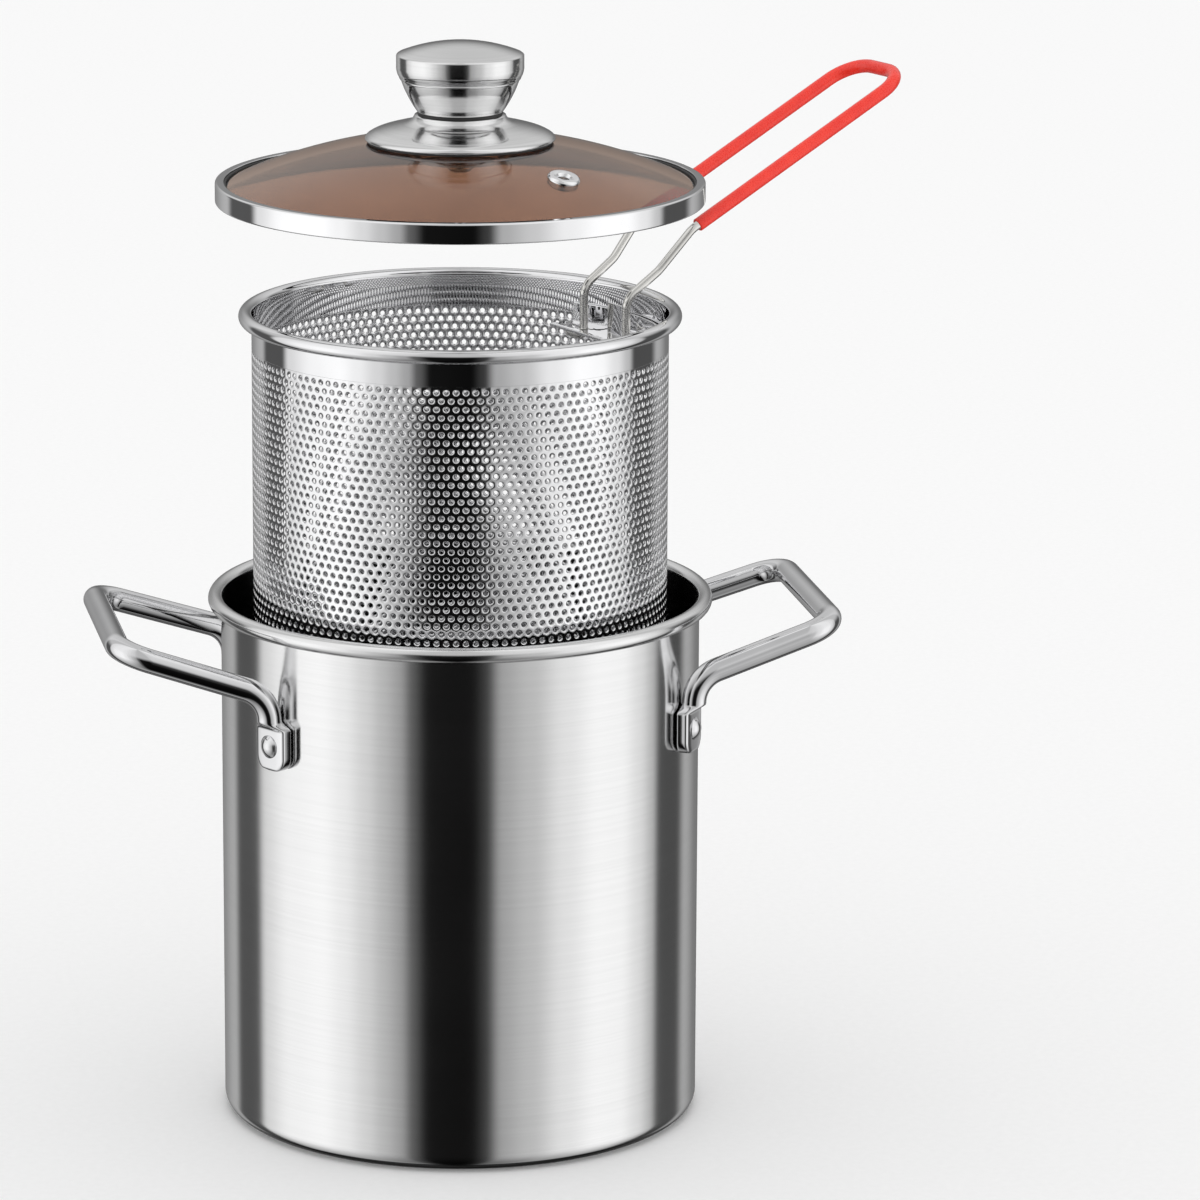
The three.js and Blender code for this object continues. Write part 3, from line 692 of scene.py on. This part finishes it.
# ---------------------------------------------------------------- basket

PITCH = 2 * math.pi * BASKET_RADIUS / HOLES_ROUND
ROW_SPACING = PITCH * math.sin(math.radians(60))
TOP_ROW = BASKET.top - HOLE_TOP_DROP
CELL_RINGS = [(1.46, 0.0), (1.33, 0.03), (1.12, 0.18), (1.0, BASKET_SHEET)]  # share of hole radius, depth
SPOKES = 12


def cell_edge(pitch):
    """Twelve points round the six-sided patch of sheet that belongs to one hole."""
    flat = pitch / 2
    rise = pitch / math.sqrt(3)
    return [
        (flat, 0),
        (flat, rise / 2),
        (flat / 2, rise * 0.75),
        (0, rise),
        (-flat / 2, rise * 0.75),
        (-flat, rise / 2),
        (-flat, 0),
        (-flat, -rise / 2),
        (-flat / 2, -rise * 0.75),
        (0, -rise),
        (flat / 2, -rise * 0.75),
        (flat, -rise / 2),
    ]


def perforated(centres, pitch, sheet_thickness, straight_top=(), straight_bottom=()):
    """Sheet with a round hole, its edge drawn inwards, at each centre. Points are (along, up, depth)."""
    edge = cell_edge(pitch)
    rise = pitch / math.sqrt(3)
    angles = [2 * math.pi * k / SPOKES for k in range(SPOKES)]
    vertices, faces = [], []
    for index, (cx, cy) in enumerate(centres):
        outline = edge
        if index in straight_top:
            outline = [(x, rise if y > 0 else y) for x, y in edge]
        if index in straight_bottom:
            outline = [(x, -rise if y < 0 else y) for x, y in outline]
        rings = [[(cx + x, cy + y, 0.0) for x, y in outline]]
        for share, depth in CELL_RINGS:
            radius = share * HOLE_RADIUS
            rings.append([(cx + radius * math.cos(a), cy + radius * math.sin(a), depth) for a in angles])
        rings.append([(cx + x, cy + y, sheet_thickness) for x, y in outline])
        base = len(vertices)
        for ring in rings:
            vertices += ring
        for level in range(len(rings) - 1):
            lower, upper = base + level * SPOKES, base + (level + 1) * SPOKES
            for i in range(SPOKES):
                j = (i + 1) % SPOKES
                faces.append((lower + i, lower + j, upper + j, upper + i))
    return np.array(vertices), np.array(faces)


def welded(vertices, faces):
    """Joins the patches of sheet where their edges meet."""
    keys = np.round(vertices * 200).astype(np.int64)
    _, first, place = np.unique(keys, axis=0, return_index=True, return_inverse=True)
    return vertices[first], place.reshape(-1)[faces]


def wrapped(vertices):
    """Bends flat sheet, (along, up, depth), into the basket's wall."""
    angle = vertices[:, 0] / BASKET_RADIUS
    radius = BASKET_RADIUS - vertices[:, 2]
    return np.column_stack([radius * np.cos(angle), radius * np.sin(angle), vertices[:, 1]])


def make_wall_band(number, rows):
    centres, tops, bottoms = [], set(), set()
    for row in rows:
        offset = PITCH / 2 if row % 2 else 0.0
        height = TOP_ROW - row * ROW_SPACING
        for k in range(HOLES_ROUND):
            if row == 0:
                tops.add(len(centres))
            if row == HOLE_ROWS - 1:
                bottoms.add(len(centres))
            centres.append((k * PITCH + offset, height))
    vertices, faces = perforated(centres, PITCH, BASKET_SHEET, tops, bottoms)
    whole = 2 * math.pi * BASKET_RADIUS
    vertices[:, 0] = np.where(vertices[:, 0] > whole - 0.01, vertices[:, 0] - whole, vertices[:, 0])
    vertices, faces = welded(vertices, faces)
    shape = wrapped(vertices), faces.tolist()
    make_piece(f"basket_mesh_{number}", shape, BASKET_STEEL, "basket", ["basket_wall"])


def make_basket_wall():
    shares = np.array_split(np.arange(HOLE_ROWS), WALL_BANDS)
    for number, rows in enumerate(shares, 1):
        make_wall_band(number, rows.tolist())
    rise = PITCH / math.sqrt(3)
    inner = BASKET_RADIUS - BASKET_SHEET
    top_edge = TOP_ROW + rise
    roll = rolled_rim(inner, BASKET_SHEET, BASKET_RIM_RADIUS, BASKET.top)
    rim = [
        (inner, top_edge + 0.1),
        (inner, top_edge),
        (BASKET_RADIUS, top_edge),
        (BASKET_RADIUS, top_edge + 0.1),
        (BASKET_RADIUS, roll[0][1] - 0.1),
        *roll,
        (inner, BASKET.top - 2 * BASKET_RIM_RADIUS - 1),
    ]
    make_piece("basket_rim", turned(rim, HOLES_ROUND * 4), BASKET_STEEL, "basket", ["basket_wall"])
    low_edge = TOP_ROW - (HOLE_ROWS - 1) * ROW_SPACING - rise
    hem = rounded(
        [
            (inner, BASKET.bottom, 0.25),
            (BASKET_RADIUS, BASKET.bottom, 0.25),
            (BASKET_RADIUS, low_edge - 0.1),
            (BASKET_RADIUS, low_edge),
            (inner, low_edge),
            (inner, low_edge - 0.1),
        ]
    )
    make_piece("basket_hem", turned(hem, HOLES_ROUND * 4), BASKET_STEEL, "basket", ["basket_wall"])


def make_basket_floor():
    """The punched bottom disc, and the turned-up lip that holds it in the wall."""
    outer = BASKET_RADIUS - BASKET_SHEET - 0.3
    bottom = BASKET.bottom
    disc_radius = outer - 5
    count = int(disc_radius / PITCH) + 2
    centres = []
    for row in range(-count, count + 1):
        for column in range(-count, count + 1):
            x = column * PITCH + (PITCH / 2 if row % 2 else 0.0)
            y = row * ROW_SPACING
            if math.hypot(x, y) < disc_radius - PITCH:
                centres.append((x, y))
    vertices, faces = welded(*perforated(centres, PITCH, BASKET_SHEET))
    flat = np.column_stack([vertices[:, 0], -vertices[:, 1], bottom + vertices[:, 2]])
    work = bmesh.new()
    made = [work.verts.new(v) for v in flat]
    for face in faces:
        work.faces.new([made[i] for i in face])
    work.edges.index_update()
    for level in (bottom, bottom + BASKET_SHEET):
        zigzag = [e for e in work.edges if e.is_boundary and abs(e.verts[0].co.z - level) < 0.01]
        zigzag = [e for e in zigzag if e.verts[0].co.xy.length > disc_radius - 4 * PITCH]
        circle = []
        steps = 160
        for k in range(steps):
            a = 2 * math.pi * k / steps
            circle.append(work.verts.new((disc_radius * math.cos(a), disc_radius * math.sin(a), level)))
        edges = [work.edges.new((circle[k], circle[(k + 1) % steps])) for k in range(steps)]
        bmesh.ops.triangle_fill(work, use_beauty=True, edges=zigzag + edges)
    work.verts.index_update()
    shape = [tuple(v.co) for v in work.verts], [tuple(v.index for v in f.verts) for f in work.faces]
    work.free()
    make_piece("basket_bottom", shape, BASKET_STEEL, "basket", ["basket_floor"])
    lip = rounded(
        [
            (disc_radius, bottom),
            (outer, bottom, 0.9),
            (outer, bottom + 6, 0.3),
            (outer - BASKET_SHEET, bottom + 6, 0.3),
            (outer - BASKET_SHEET, bottom + BASKET_SHEET, 0.3),
            (disc_radius, bottom + BASKET_SHEET),
        ]
    )
    make_piece("basket_bottom_lip", turned(lip, 160), BASKET_STEEL, "basket", ["basket_floor"])


def in_handle_frame(vertices):
    """From the wire handle's own frame, +X towards the handle and Z from the rim, to the pot's."""
    return turned_about(vertices, HANDLE_DIRECTION) + (0, 0, BASKET.top)


def make_bracket():
    """A folded bracket: a back plate on the wall, a slotted ledge and a tab that stands up from it."""
    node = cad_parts["handle_bracket"]
    work = bmesh.new()
    work.from_mesh(node.data)
    bmesh.ops.remove_doubles(work, verts=work.verts, dist=1e-5)
    bmesh.ops.dissolve_limit(work, angle_limit=math.radians(2), verts=work.verts, edges=work.edges)
    mesh = bpy.data.meshes.new("bracket_plate")
    work.to_mesh(mesh)
    work.free()
    mesh.materials.append(BASKET_STEEL)
    piece = bpy.data.objects.new("bracket_plate", mesh)
    bpy.context.scene.collection.objects.link(piece)
    bevel = piece.modifiers.new("soft_edges", "BEVEL")
    bevel.width = 0.25 * MM
    bevel.segments = 3
    bevel.limit_method = "ANGLE"
    bevel.angle_limit = math.radians(30)
    bevel.harden_normals = True
    mesh.shade_smooth()
    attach(piece, "basket")
    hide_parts("handle_bracket")


def handle_points(side):
    """The shoulder and the tip on one side of the wire handle."""
    shoulder = Vector((SHOULDER_OUT, side * GRIP_HALF_SPACING, SHOULDER_RISE))
    tip = shoulder + Vector((GRIP_REACH, 0, GRIP_RISE))
    return shoulder, tip


def make_wire_handle():
    halves = []
    for side in (1, -1):
        shoulder, tip = handle_points(side)
        leg = side * LEG_HALF_SPACING
        halves.append(
            [
                ((LEG_OUT, leg + side * 12.5, -22.5), 0),
                ((LEG_OUT, leg, -22.5), 4),
                ((LEG_OUT, leg, -1), 9),
                ((BASKET_RADIUS, side * KNEE_HALF_SPACING, 9.6), 14),
                (shoulder, 10),
                (tip, GRIP_END_BEND),
            ]
        )
    line = bent_line([*halves[0], *halves[1][::-1]], 5.0, 3.0)
    vertices, faces = rod(line, WIRE_RADIUS, 28, WIRE_RADIUS / 2)
    shape = in_handle_frame(vertices), faces
    make_piece("handle_wire", shape, WIRE_STEEL, "basket_handle", ["wire_handle"])


def make_grip():
    halves = []
    for side in (1, -1):
        shoulder, tip = handle_points(side)
        start = shoulder + (tip - shoulder).normalized() * GRIP_START
        halves.append([(start, 0), (tip, GRIP_END_BEND)])
    line = bent_line([*halves[0], *halves[1][::-1]], 5.0, 3.0)
    vertices, faces = sleeve(line, GRIP_RADIUS, WIRE_RADIUS + 0.05)
    shape = in_handle_frame(vertices), faces
    grip = make_piece("grip_sleeve", shape, GRIP_RED, "basket_handle", ["handle_grip"])
    grip.visible_glossy = False


def make_basket():
    make_basket_wall()
    make_basket_floor()
    make_bracket()
    make_wire_handle()
    make_grip()


# ---------------------------------------------------------------- lid


def dome_height(radius, depth=0.0):
    return DOME_CENTRE + math.sqrt((DOME_RADIUS - depth) ** 2 - radius**2)


def make_glass():
    bore = 4.5
    steps = np.linspace(0, 1, 36)
    radii = bore + (GLASS_RADIUS - bore) * steps
    lower = [(r, dome_height(r, GLASS_THICKNESS)) for r in radii]
    upper = [(r, dome_height(r)) for r in radii]
    lower[0], upper[0] = (bore, lower[0][1]), (bore, upper[0][1])
    shape = turned([*lower, *upper[::-1]], 256)
    glass = make_piece("lid_dome", shape, LID_GLASS, "lid", ["lid_glass"])
    glass.visible_glossy = False  # the steel below it stays free of brown reflections


def make_band():
    sheet_thickness = 0.6
    outer, top, bottom = LID.radius, LID.top, LID.bottom
    inner = outer - sheet_thickness
    corners = [
        (outer - 3.0, bottom, 0.12),
        (outer, bottom, 0.7),
        (outer, top, 0.9),
        (outer - BAND_LIP, top, 0.25),
        (outer - BAND_LIP, top - sheet_thickness, 0.25),
        (inner, top - sheet_thickness, 0.2),
        (inner, bottom + sheet_thickness, 0.2),
        (outer - 3.0, bottom + sheet_thickness, 0.12),
    ]
    make_piece("lid_rim", turned(rounded(corners), 256), LID_STEEL, "lid", ["lid_band"])


def make_seal():
    outer = LID.radius - 0.75
    inner = GLASS_RADIUS + 0.1
    lip = LID.radius - BAND_LIP - 0.9
    top = LID.top - 0.7
    corners = [
        (inner, LID.bottom + 0.7, 0.2),
        (outer, LID.bottom + 0.7, 0.2),
        (outer, top, 0.2),
        (lip, top, 0.5),
        (lip, dome_height(lip) + 0.05, 0.1),
        (inner, dome_height(inner) + 0.05, 0.1),
    ]
    make_piece("lid_gasket", turned(rounded(corners), 256), SEAL_BLACK, "lid", ["lid_seal"])


def on_vent(vertices):
    """From the vent's own frame, Z square to the glass and 0 on its upper face, to the pot's."""
    x = VENT_OUT * math.cos(VENT_DIRECTION)
    y = VENT_OUT * math.sin(VENT_DIRECTION)
    height = dome_height(VENT_OUT)
    normal = Vector((x, y, height - DOME_CENTRE)).normalized()
    turn = Vector((0, 0, 1)).rotation_difference(normal).to_matrix()
    return np.asarray(vertices) @ np.array(turn).T + (x, y, height)


def make_vent():
    flange = [
        (2.4, -5.6),
        (5.2, -5.6, 0.3),
        (5.2, -5.0, 0.2),
        (4.0, -5.0),
        (4.0, 0.05),
        (6.7, 0.05, 0.1),
        (6.7, 0.7, 0.5),
        (5.9, 1.6, 0.9),
        (4.6, 1.75, 1.0),
        (3.4, 1.35, 0.8),
        (2.4, 0.2, 0.8),
    ]
    vertices, faces = turned(rounded(flange), 64)
    make_piece("vent_ring", (on_vent(vertices), faces), LID_STEEL, "lid", ["vent_eyelet"])
    washer = [(4.1, -4.9, 0.15), (6.2, -4.9, 0.3), (6.2, -4.1, 0.3), (4.1, -4.1, 0.15)]
    vertices, faces = turned(rounded(washer), 64)
    make_piece("vent_disc", (on_vent(vertices), faces), LID_STEEL, "lid", ["vent_washer"])


FLANGE = Extent("knob_flange")
NECK_RING = Extent("knob_neck_ring")
BODY = Extent("knob_body")
CAP = Extent("knob_cap")
DISH = Extent("knob_dish")
SCREW = Extent("knob_screw")


def make_knob_flange():
    """A disc that is convex from its edge to a crease, where it sweeps up into a short neck."""
    height = FLANGE.top - FLANGE.bottom
    edge = FLANGE.radius
    convex = smooth_curve(
        [
            (edge - 0.5, 0.0),
            (edge, 0.7),
            (edge - 1.0, 2.1),
            (edge - 4.5, 3.9),
            (edge - 9.5, 5.4),
            (edge - 13.5, 6.3),
            (23.2, 6.8),
        ],
        5,
    )
    neck = smooth_curve([(23.2, 6.8), (21.4, 7.4), (20.0, 8.4), (19.2, 9.5), (18.8, height)], 4)
    outer = [*convex, *neck[1:], (12.0, height)]
    profile = [(r, FLANGE.bottom + h) for r, h in sheet(outer, 0.9)]
    make_piece("knob_skirt", turned(profile), KNOB_STEEL, "lid", ["knob_flange"])


def make_knob_rings():
    """The soft pieces of the knob: the seal under its skirt and the black ring at its neck."""
    radius = NECK_RING.radius
    ring = [
        (14.0, NECK_RING.bottom - 0.2),
        (radius, NECK_RING.bottom - 0.2, 0.4),
        (radius, NECK_RING.top + 0.2, 0.4),
        (14.0, NECK_RING.top + 0.2),
    ]
    make_piece("knob_collar", turned(rounded(ring), 96), SEAL_BLACK, "lid", ["knob_neck_ring"])
    outer = FLANGE.radius - 0.9
    inner = outer - 4
    low = [(r, dome_height(r) + 0.05) for r in (inner, outer)]
    seal = [(*low[0], 0.2), (*low[1], 0.3), (outer, low[1][1] + 1.0, 0.3), (inner, low[0][1] + 0.9, 0.2)]
    make_piece("knob_seal", turned(rounded(seal), 96), SEAL_BLACK, "lid", ["knob_flange_gasket"])


def make_knob_body():
    low, high = BODY.bottom, BODY.top
    height = high - low
    foot, groove = 18.0, BODY.radius
    outer = smooth_curve(
        [
            (foot - 0.5, 0.0),
            (foot, 0.5),
            (foot + (groove - foot) * 0.36, height * 0.3),
            (foot + (groove - foot) * 0.72, height * 0.62),
            (foot + (groove - foot) * 0.93, height * 0.86),
            (groove, height * 0.97),
            (groove - 0.4, height),
        ],
        5,
    )
    profile = [(r, low + h) for r, h in sheet([(10.0, 0.0), *outer], 1.0)]
    make_piece("knob_shell", turned(profile), KNOB_STEEL, "lid", ["knob_body"])


def make_knob_cap():
    low, high = CAP.bottom, CAP.top
    radius = CAP.radius
    dome = 5.2
    corner = high - dome
    crown = (dome**2 + radius**2) / (2 * dome)
    edge = math.degrees(math.asin((radius - 0.9) / crown))
    outer = [
        (24.1, low - 0.35),
        (24.7, low - 0.1),
        (25.0, low + 0.35),
        *smooth_curve([(25.2, low + 0.9), (25.9, low + 2.4), (radius, low + 4.4), (radius, low + 5.4)], 5),
        (radius, corner - 0.7),
        (radius - 0.08, corner - 0.35),
        (radius - 0.3, corner - 0.05),
        *arc((0, high - crown), crown, 90 - edge, 90, 30),
    ]
    outer[-1] = (0.0, high)
    make_piece("knob_top", turned(sheet(outer, 0.9)), KNOB_STEEL, "lid", ["knob_cap"])


def make_dish():
    """The polished dish under the glass and the seal above it."""
    top, bottom, radius = DISH.top, DISH.bottom, DISH.radius
    depth = top - bottom
    outer = smooth_curve(
        [
            (6.0, 0.0),
            (radius * 0.62, 0.0),
            (radius * 0.8, depth * 0.08),
            (radius * 0.92, depth * 0.34),
            (radius * 0.985, depth * 0.72),
            (radius, depth),
        ],
        6,
    )
    outer = [(3.0, 0.0), *outer]
    profile = [(r, bottom + h) for r, h in sheet(outer, 0.8)]
    make_piece("dish_cup", turned(profile), LID_STEEL, "lid", ["knob_dish"])
    gasket = Extent("knob_dish_gasket")
    seal = [
        (radius - 2.8, gasket.bottom - 0.2, 0.2),
        (radius + 0.3, gasket.bottom - 0.2, 0.3),
        (radius + 0.3, gasket.top + 0.2, 0.3),
        (radius - 2.8, gasket.top + 0.2, 0.2),
    ]
    make_piece("dish_seal", turned(rounded(seal), 96), SEAL_BLACK, "lid", ["knob_dish_gasket"])


def make_screw():
    head = SCREW.radius
    low = SCREW.bottom
    head_top = low + 3.2
    slot_depth = 1.5
    slot_half = 0.7
    slot_reach = 3.1
    profile = [
        (0, low),
        *rounded(
            [
                (0, low),
                (head * 0.7, low, 2.5),
                (head, low + 1.5, 0.8),
                (head, head_top, 0.4),
                (2.5, head_top, 0.3),
                (2.5, SCREW.top, 0.6),
                (0, SCREW.top),
            ],
            closed=False,
        )[1:-1],
        (0, SCREW.top),
    ]
    piece = make_piece("screw_pin", turned(profile, 64), LID_STEEL, "lid", ["knob_screw"])
    for name, size in (("one", (slot_reach, slot_half)), ("two", (slot_half, slot_reach))):
        cutter = box_mesh(f"screw_slot_{name}", size, low - 1, low + slot_depth)
        cut_away(piece, cutter)


def box_mesh(name, half_size, bottom, top):
    work = bmesh.new()
    bmesh.ops.create_cube(work, size=2.0)
    for vertex in work.verts:
        vertex.co.x *= half_size[0] * MM
        vertex.co.y *= half_size[1] * MM
        vertex.co.z = (top if vertex.co.z > 0 else bottom) * MM
    mesh = bpy.data.meshes.new(name)
    work.to_mesh(mesh)
    work.free()
    tool = bpy.data.objects.new(name, mesh)
    bpy.context.scene.collection.objects.link(tool)
    return tool


def cut_away(piece, tool):
    """Cuts a tool's shape out of a piece and removes the tool."""
    modifier = piece.modifiers.new("cut", "BOOLEAN")
    modifier.operation = "DIFFERENCE"
    modifier.object = tool
    modifier.solver = "EXACT"
    bpy.context.view_layer.update()
    ready = piece.evaluated_get(bpy.context.evaluated_depsgraph_get())
    mesh = bpy.data.meshes.new_from_object(ready)
    piece.modifiers.remove(modifier)
    old = piece.data
    piece.data = mesh
    bpy.data.meshes.remove(old)
    mesh.set_sharp_from_angle(angle=math.radians(40))
    bpy.data.objects.remove(tool)


def make_lid():
    make_glass()
    make_band()
    make_seal()
    make_vent()
    make_knob_flange()
    make_knob_rings()
    make_knob_body()
    make_knob_cap()
    make_dish()
    make_screw()


# ---------------------------------------------------------------- studio


def make_floor():
    """A wide pale sweep. Steel pieces reflect the studio and not the floor."""
    work = bmesh.new()
    bmesh.ops.create_grid(work, x_segments=8, y_segments=8, size=9.0)
    mesh = bpy.data.meshes.new("floor")
    work.to_mesh(mesh)
    work.free()
    floor = bpy.data.objects.new("floor", mesh)
    bpy.context.scene.collection.objects.link(floor)
    floor.location.z = -0.0002
    floor.visible_glossy = False
    material, tree, shader = new_material("pale_floor")
    paper = noise(tree, own_position(tree), 300.0, 2.0)
    colour = blend_between(tree, spread(tree, paper, 0, 1), (0.9, 0.9, 0.9), (0.92, 0.92, 0.92))
    socket_set(tree, shader, "Base Color", colour)
    shader.inputs["Roughness"].default_value = 0.9
    mesh.materials.append(material)


# The studio round the pot: degrees to the right of the camera, and how bright the wall is there.
STUDIO_WALL = [
    (-180, 0.13),
    (-165, 0.24),
    (-142, 0.4),
    (-134, 0.08),
    (-116, 0.08),
    (-109, 0.7),
    (-90, 0.94),
    (-70, 1.0),
    (-58, 0.88),
    (-46, 0.68),
    (-37, 0.5),
    (-29, 0.36),
    (-23, 0.1),
    (-16, 0.006),
    (6, 0.004),
    (13, 0.04),
    (20, 0.38),
    (34, 0.52),
    (52, 0.8),
    (70, 0.98),
    (84, 0.96),
    (96, 0.76),
    (106, 0.5),
    (112, 0.07),
    (130, 0.07),
    (140, 0.38),
    (160, 0.18),
    (180, 0.13),
]


def make_studio():
    world = bpy.data.worlds.new("studio")
    world.use_nodes = True
    tree = world.node_tree
    tree.nodes.clear()
    direction = add_node(tree, "TexCoord").outputs["Generated"]
    x, y, z = add_node(tree, "SeparateXYZ", {"Vector": direction}).outputs
    front = add_node(tree, "Math", {0: y, 1: -1.0}, operation="MULTIPLY").outputs[0]
    azimuth = add_node(tree, "Math", {0: x, 1: front}, operation="ARCTAN2").outputs[0]
    shifted = add_node(tree, "Math", {0: azimuth, 1: -math.radians(CAMERA_AZIMUTH)}, operation="ADD")
    wrap_inputs = {0: shifted.outputs[0], 1: math.pi, 2: -math.pi}
    relative = add_node(tree, "Math", wrap_inputs, operation="WRAP").outputs[0]
    share_inputs = {"Value": relative, "From Min": -math.pi, "From Max": math.pi}
    share = add_node(tree, "MapRange", share_inputs).outputs[0]
    ramp = add_node(tree, "ValToRGB", {0: share})
    ramp.color_ramp.interpolation = "EASE"
    elements = ramp.color_ramp.elements
    while len(elements) < len(STUDIO_WALL):
        elements.new(0.5)
    for element, (degrees, value) in zip(elements, STUDIO_WALL):
        element.position = (degrees + 180) / 360
        element.color = (value, value, value, 1)
    overhead_inputs = {"Value": z, "From Min": 0.05, "From Max": 0.5, "To Max": 0.62}
    overhead = add_node(tree, "MapRange", overhead_inputs, interpolation_type="SMOOTHSTEP").outputs[0]
    mix = add_node(tree, "Mix", data_type="RGBA")
    socket_set(tree, mix, "Factor", overhead)
    tree.links.new(ramp.outputs[0], mix.inputs[6])
    mix.inputs[7].default_value = (0.8, 0.8, 0.8, 1)
    below_inputs = {"Value": z, "From Min": -0.85, "From Max": -0.32, "To Min": 0.4, "To Max": 1.15}
    below = add_node(tree, "MapRange", below_inputs).outputs[0]
    reflected = add_node(tree, "Background", {"Color": mix.outputs[2], "Strength": below})
    soft_light = add_node(tree, "Background", {"Color": (1, 1, 1, 1), "Strength": 1.05})
    in_steel = add_node(tree, "LightPath").outputs["Is Glossy Ray"]
    both = add_node(tree, "MixShader", {0: in_steel, 1: soft_light.outputs[0], 2: reflected.outputs[0]})
    output = add_node(tree, "OutputWorld")
    tree.links.new(both.outputs[0], output.inputs[0])
    bpy.context.scene.world = world
    bpy.context.scene.view_settings.view_transform = "Standard"


def make_camera():
    data = bpy.data.cameras.new("camera")
    camera = bpy.data.objects.new("camera", data)
    bpy.context.scene.collection.objects.link(camera)
    distance, height = 2.5613, 0.8476
    azimuth = math.radians(CAMERA_AZIMUTH)
    camera.location = (distance * math.sin(azimuth), -distance * math.cos(azimuth), height)
    aim = Vector((0, 0, 0.230))
    camera.rotation_euler = (aim - camera.location).to_track_quat("-Z", "Y").to_euler()
    data.sensor_width = 36
    data.lens = 189.2
    data.shift_x = 0.1165
    data.shift_y = -0.0235
    data.clip_start, data.clip_end = 0.05, 60
    bpy.context.scene.camera = camera


make_camera()
make_studio()
make_floor()
make_pot()
make_basket()
make_lid()
insert_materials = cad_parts["knob_insert"].data.materials
insert_materials.clear()
insert_materials.append(LID_STEEL)
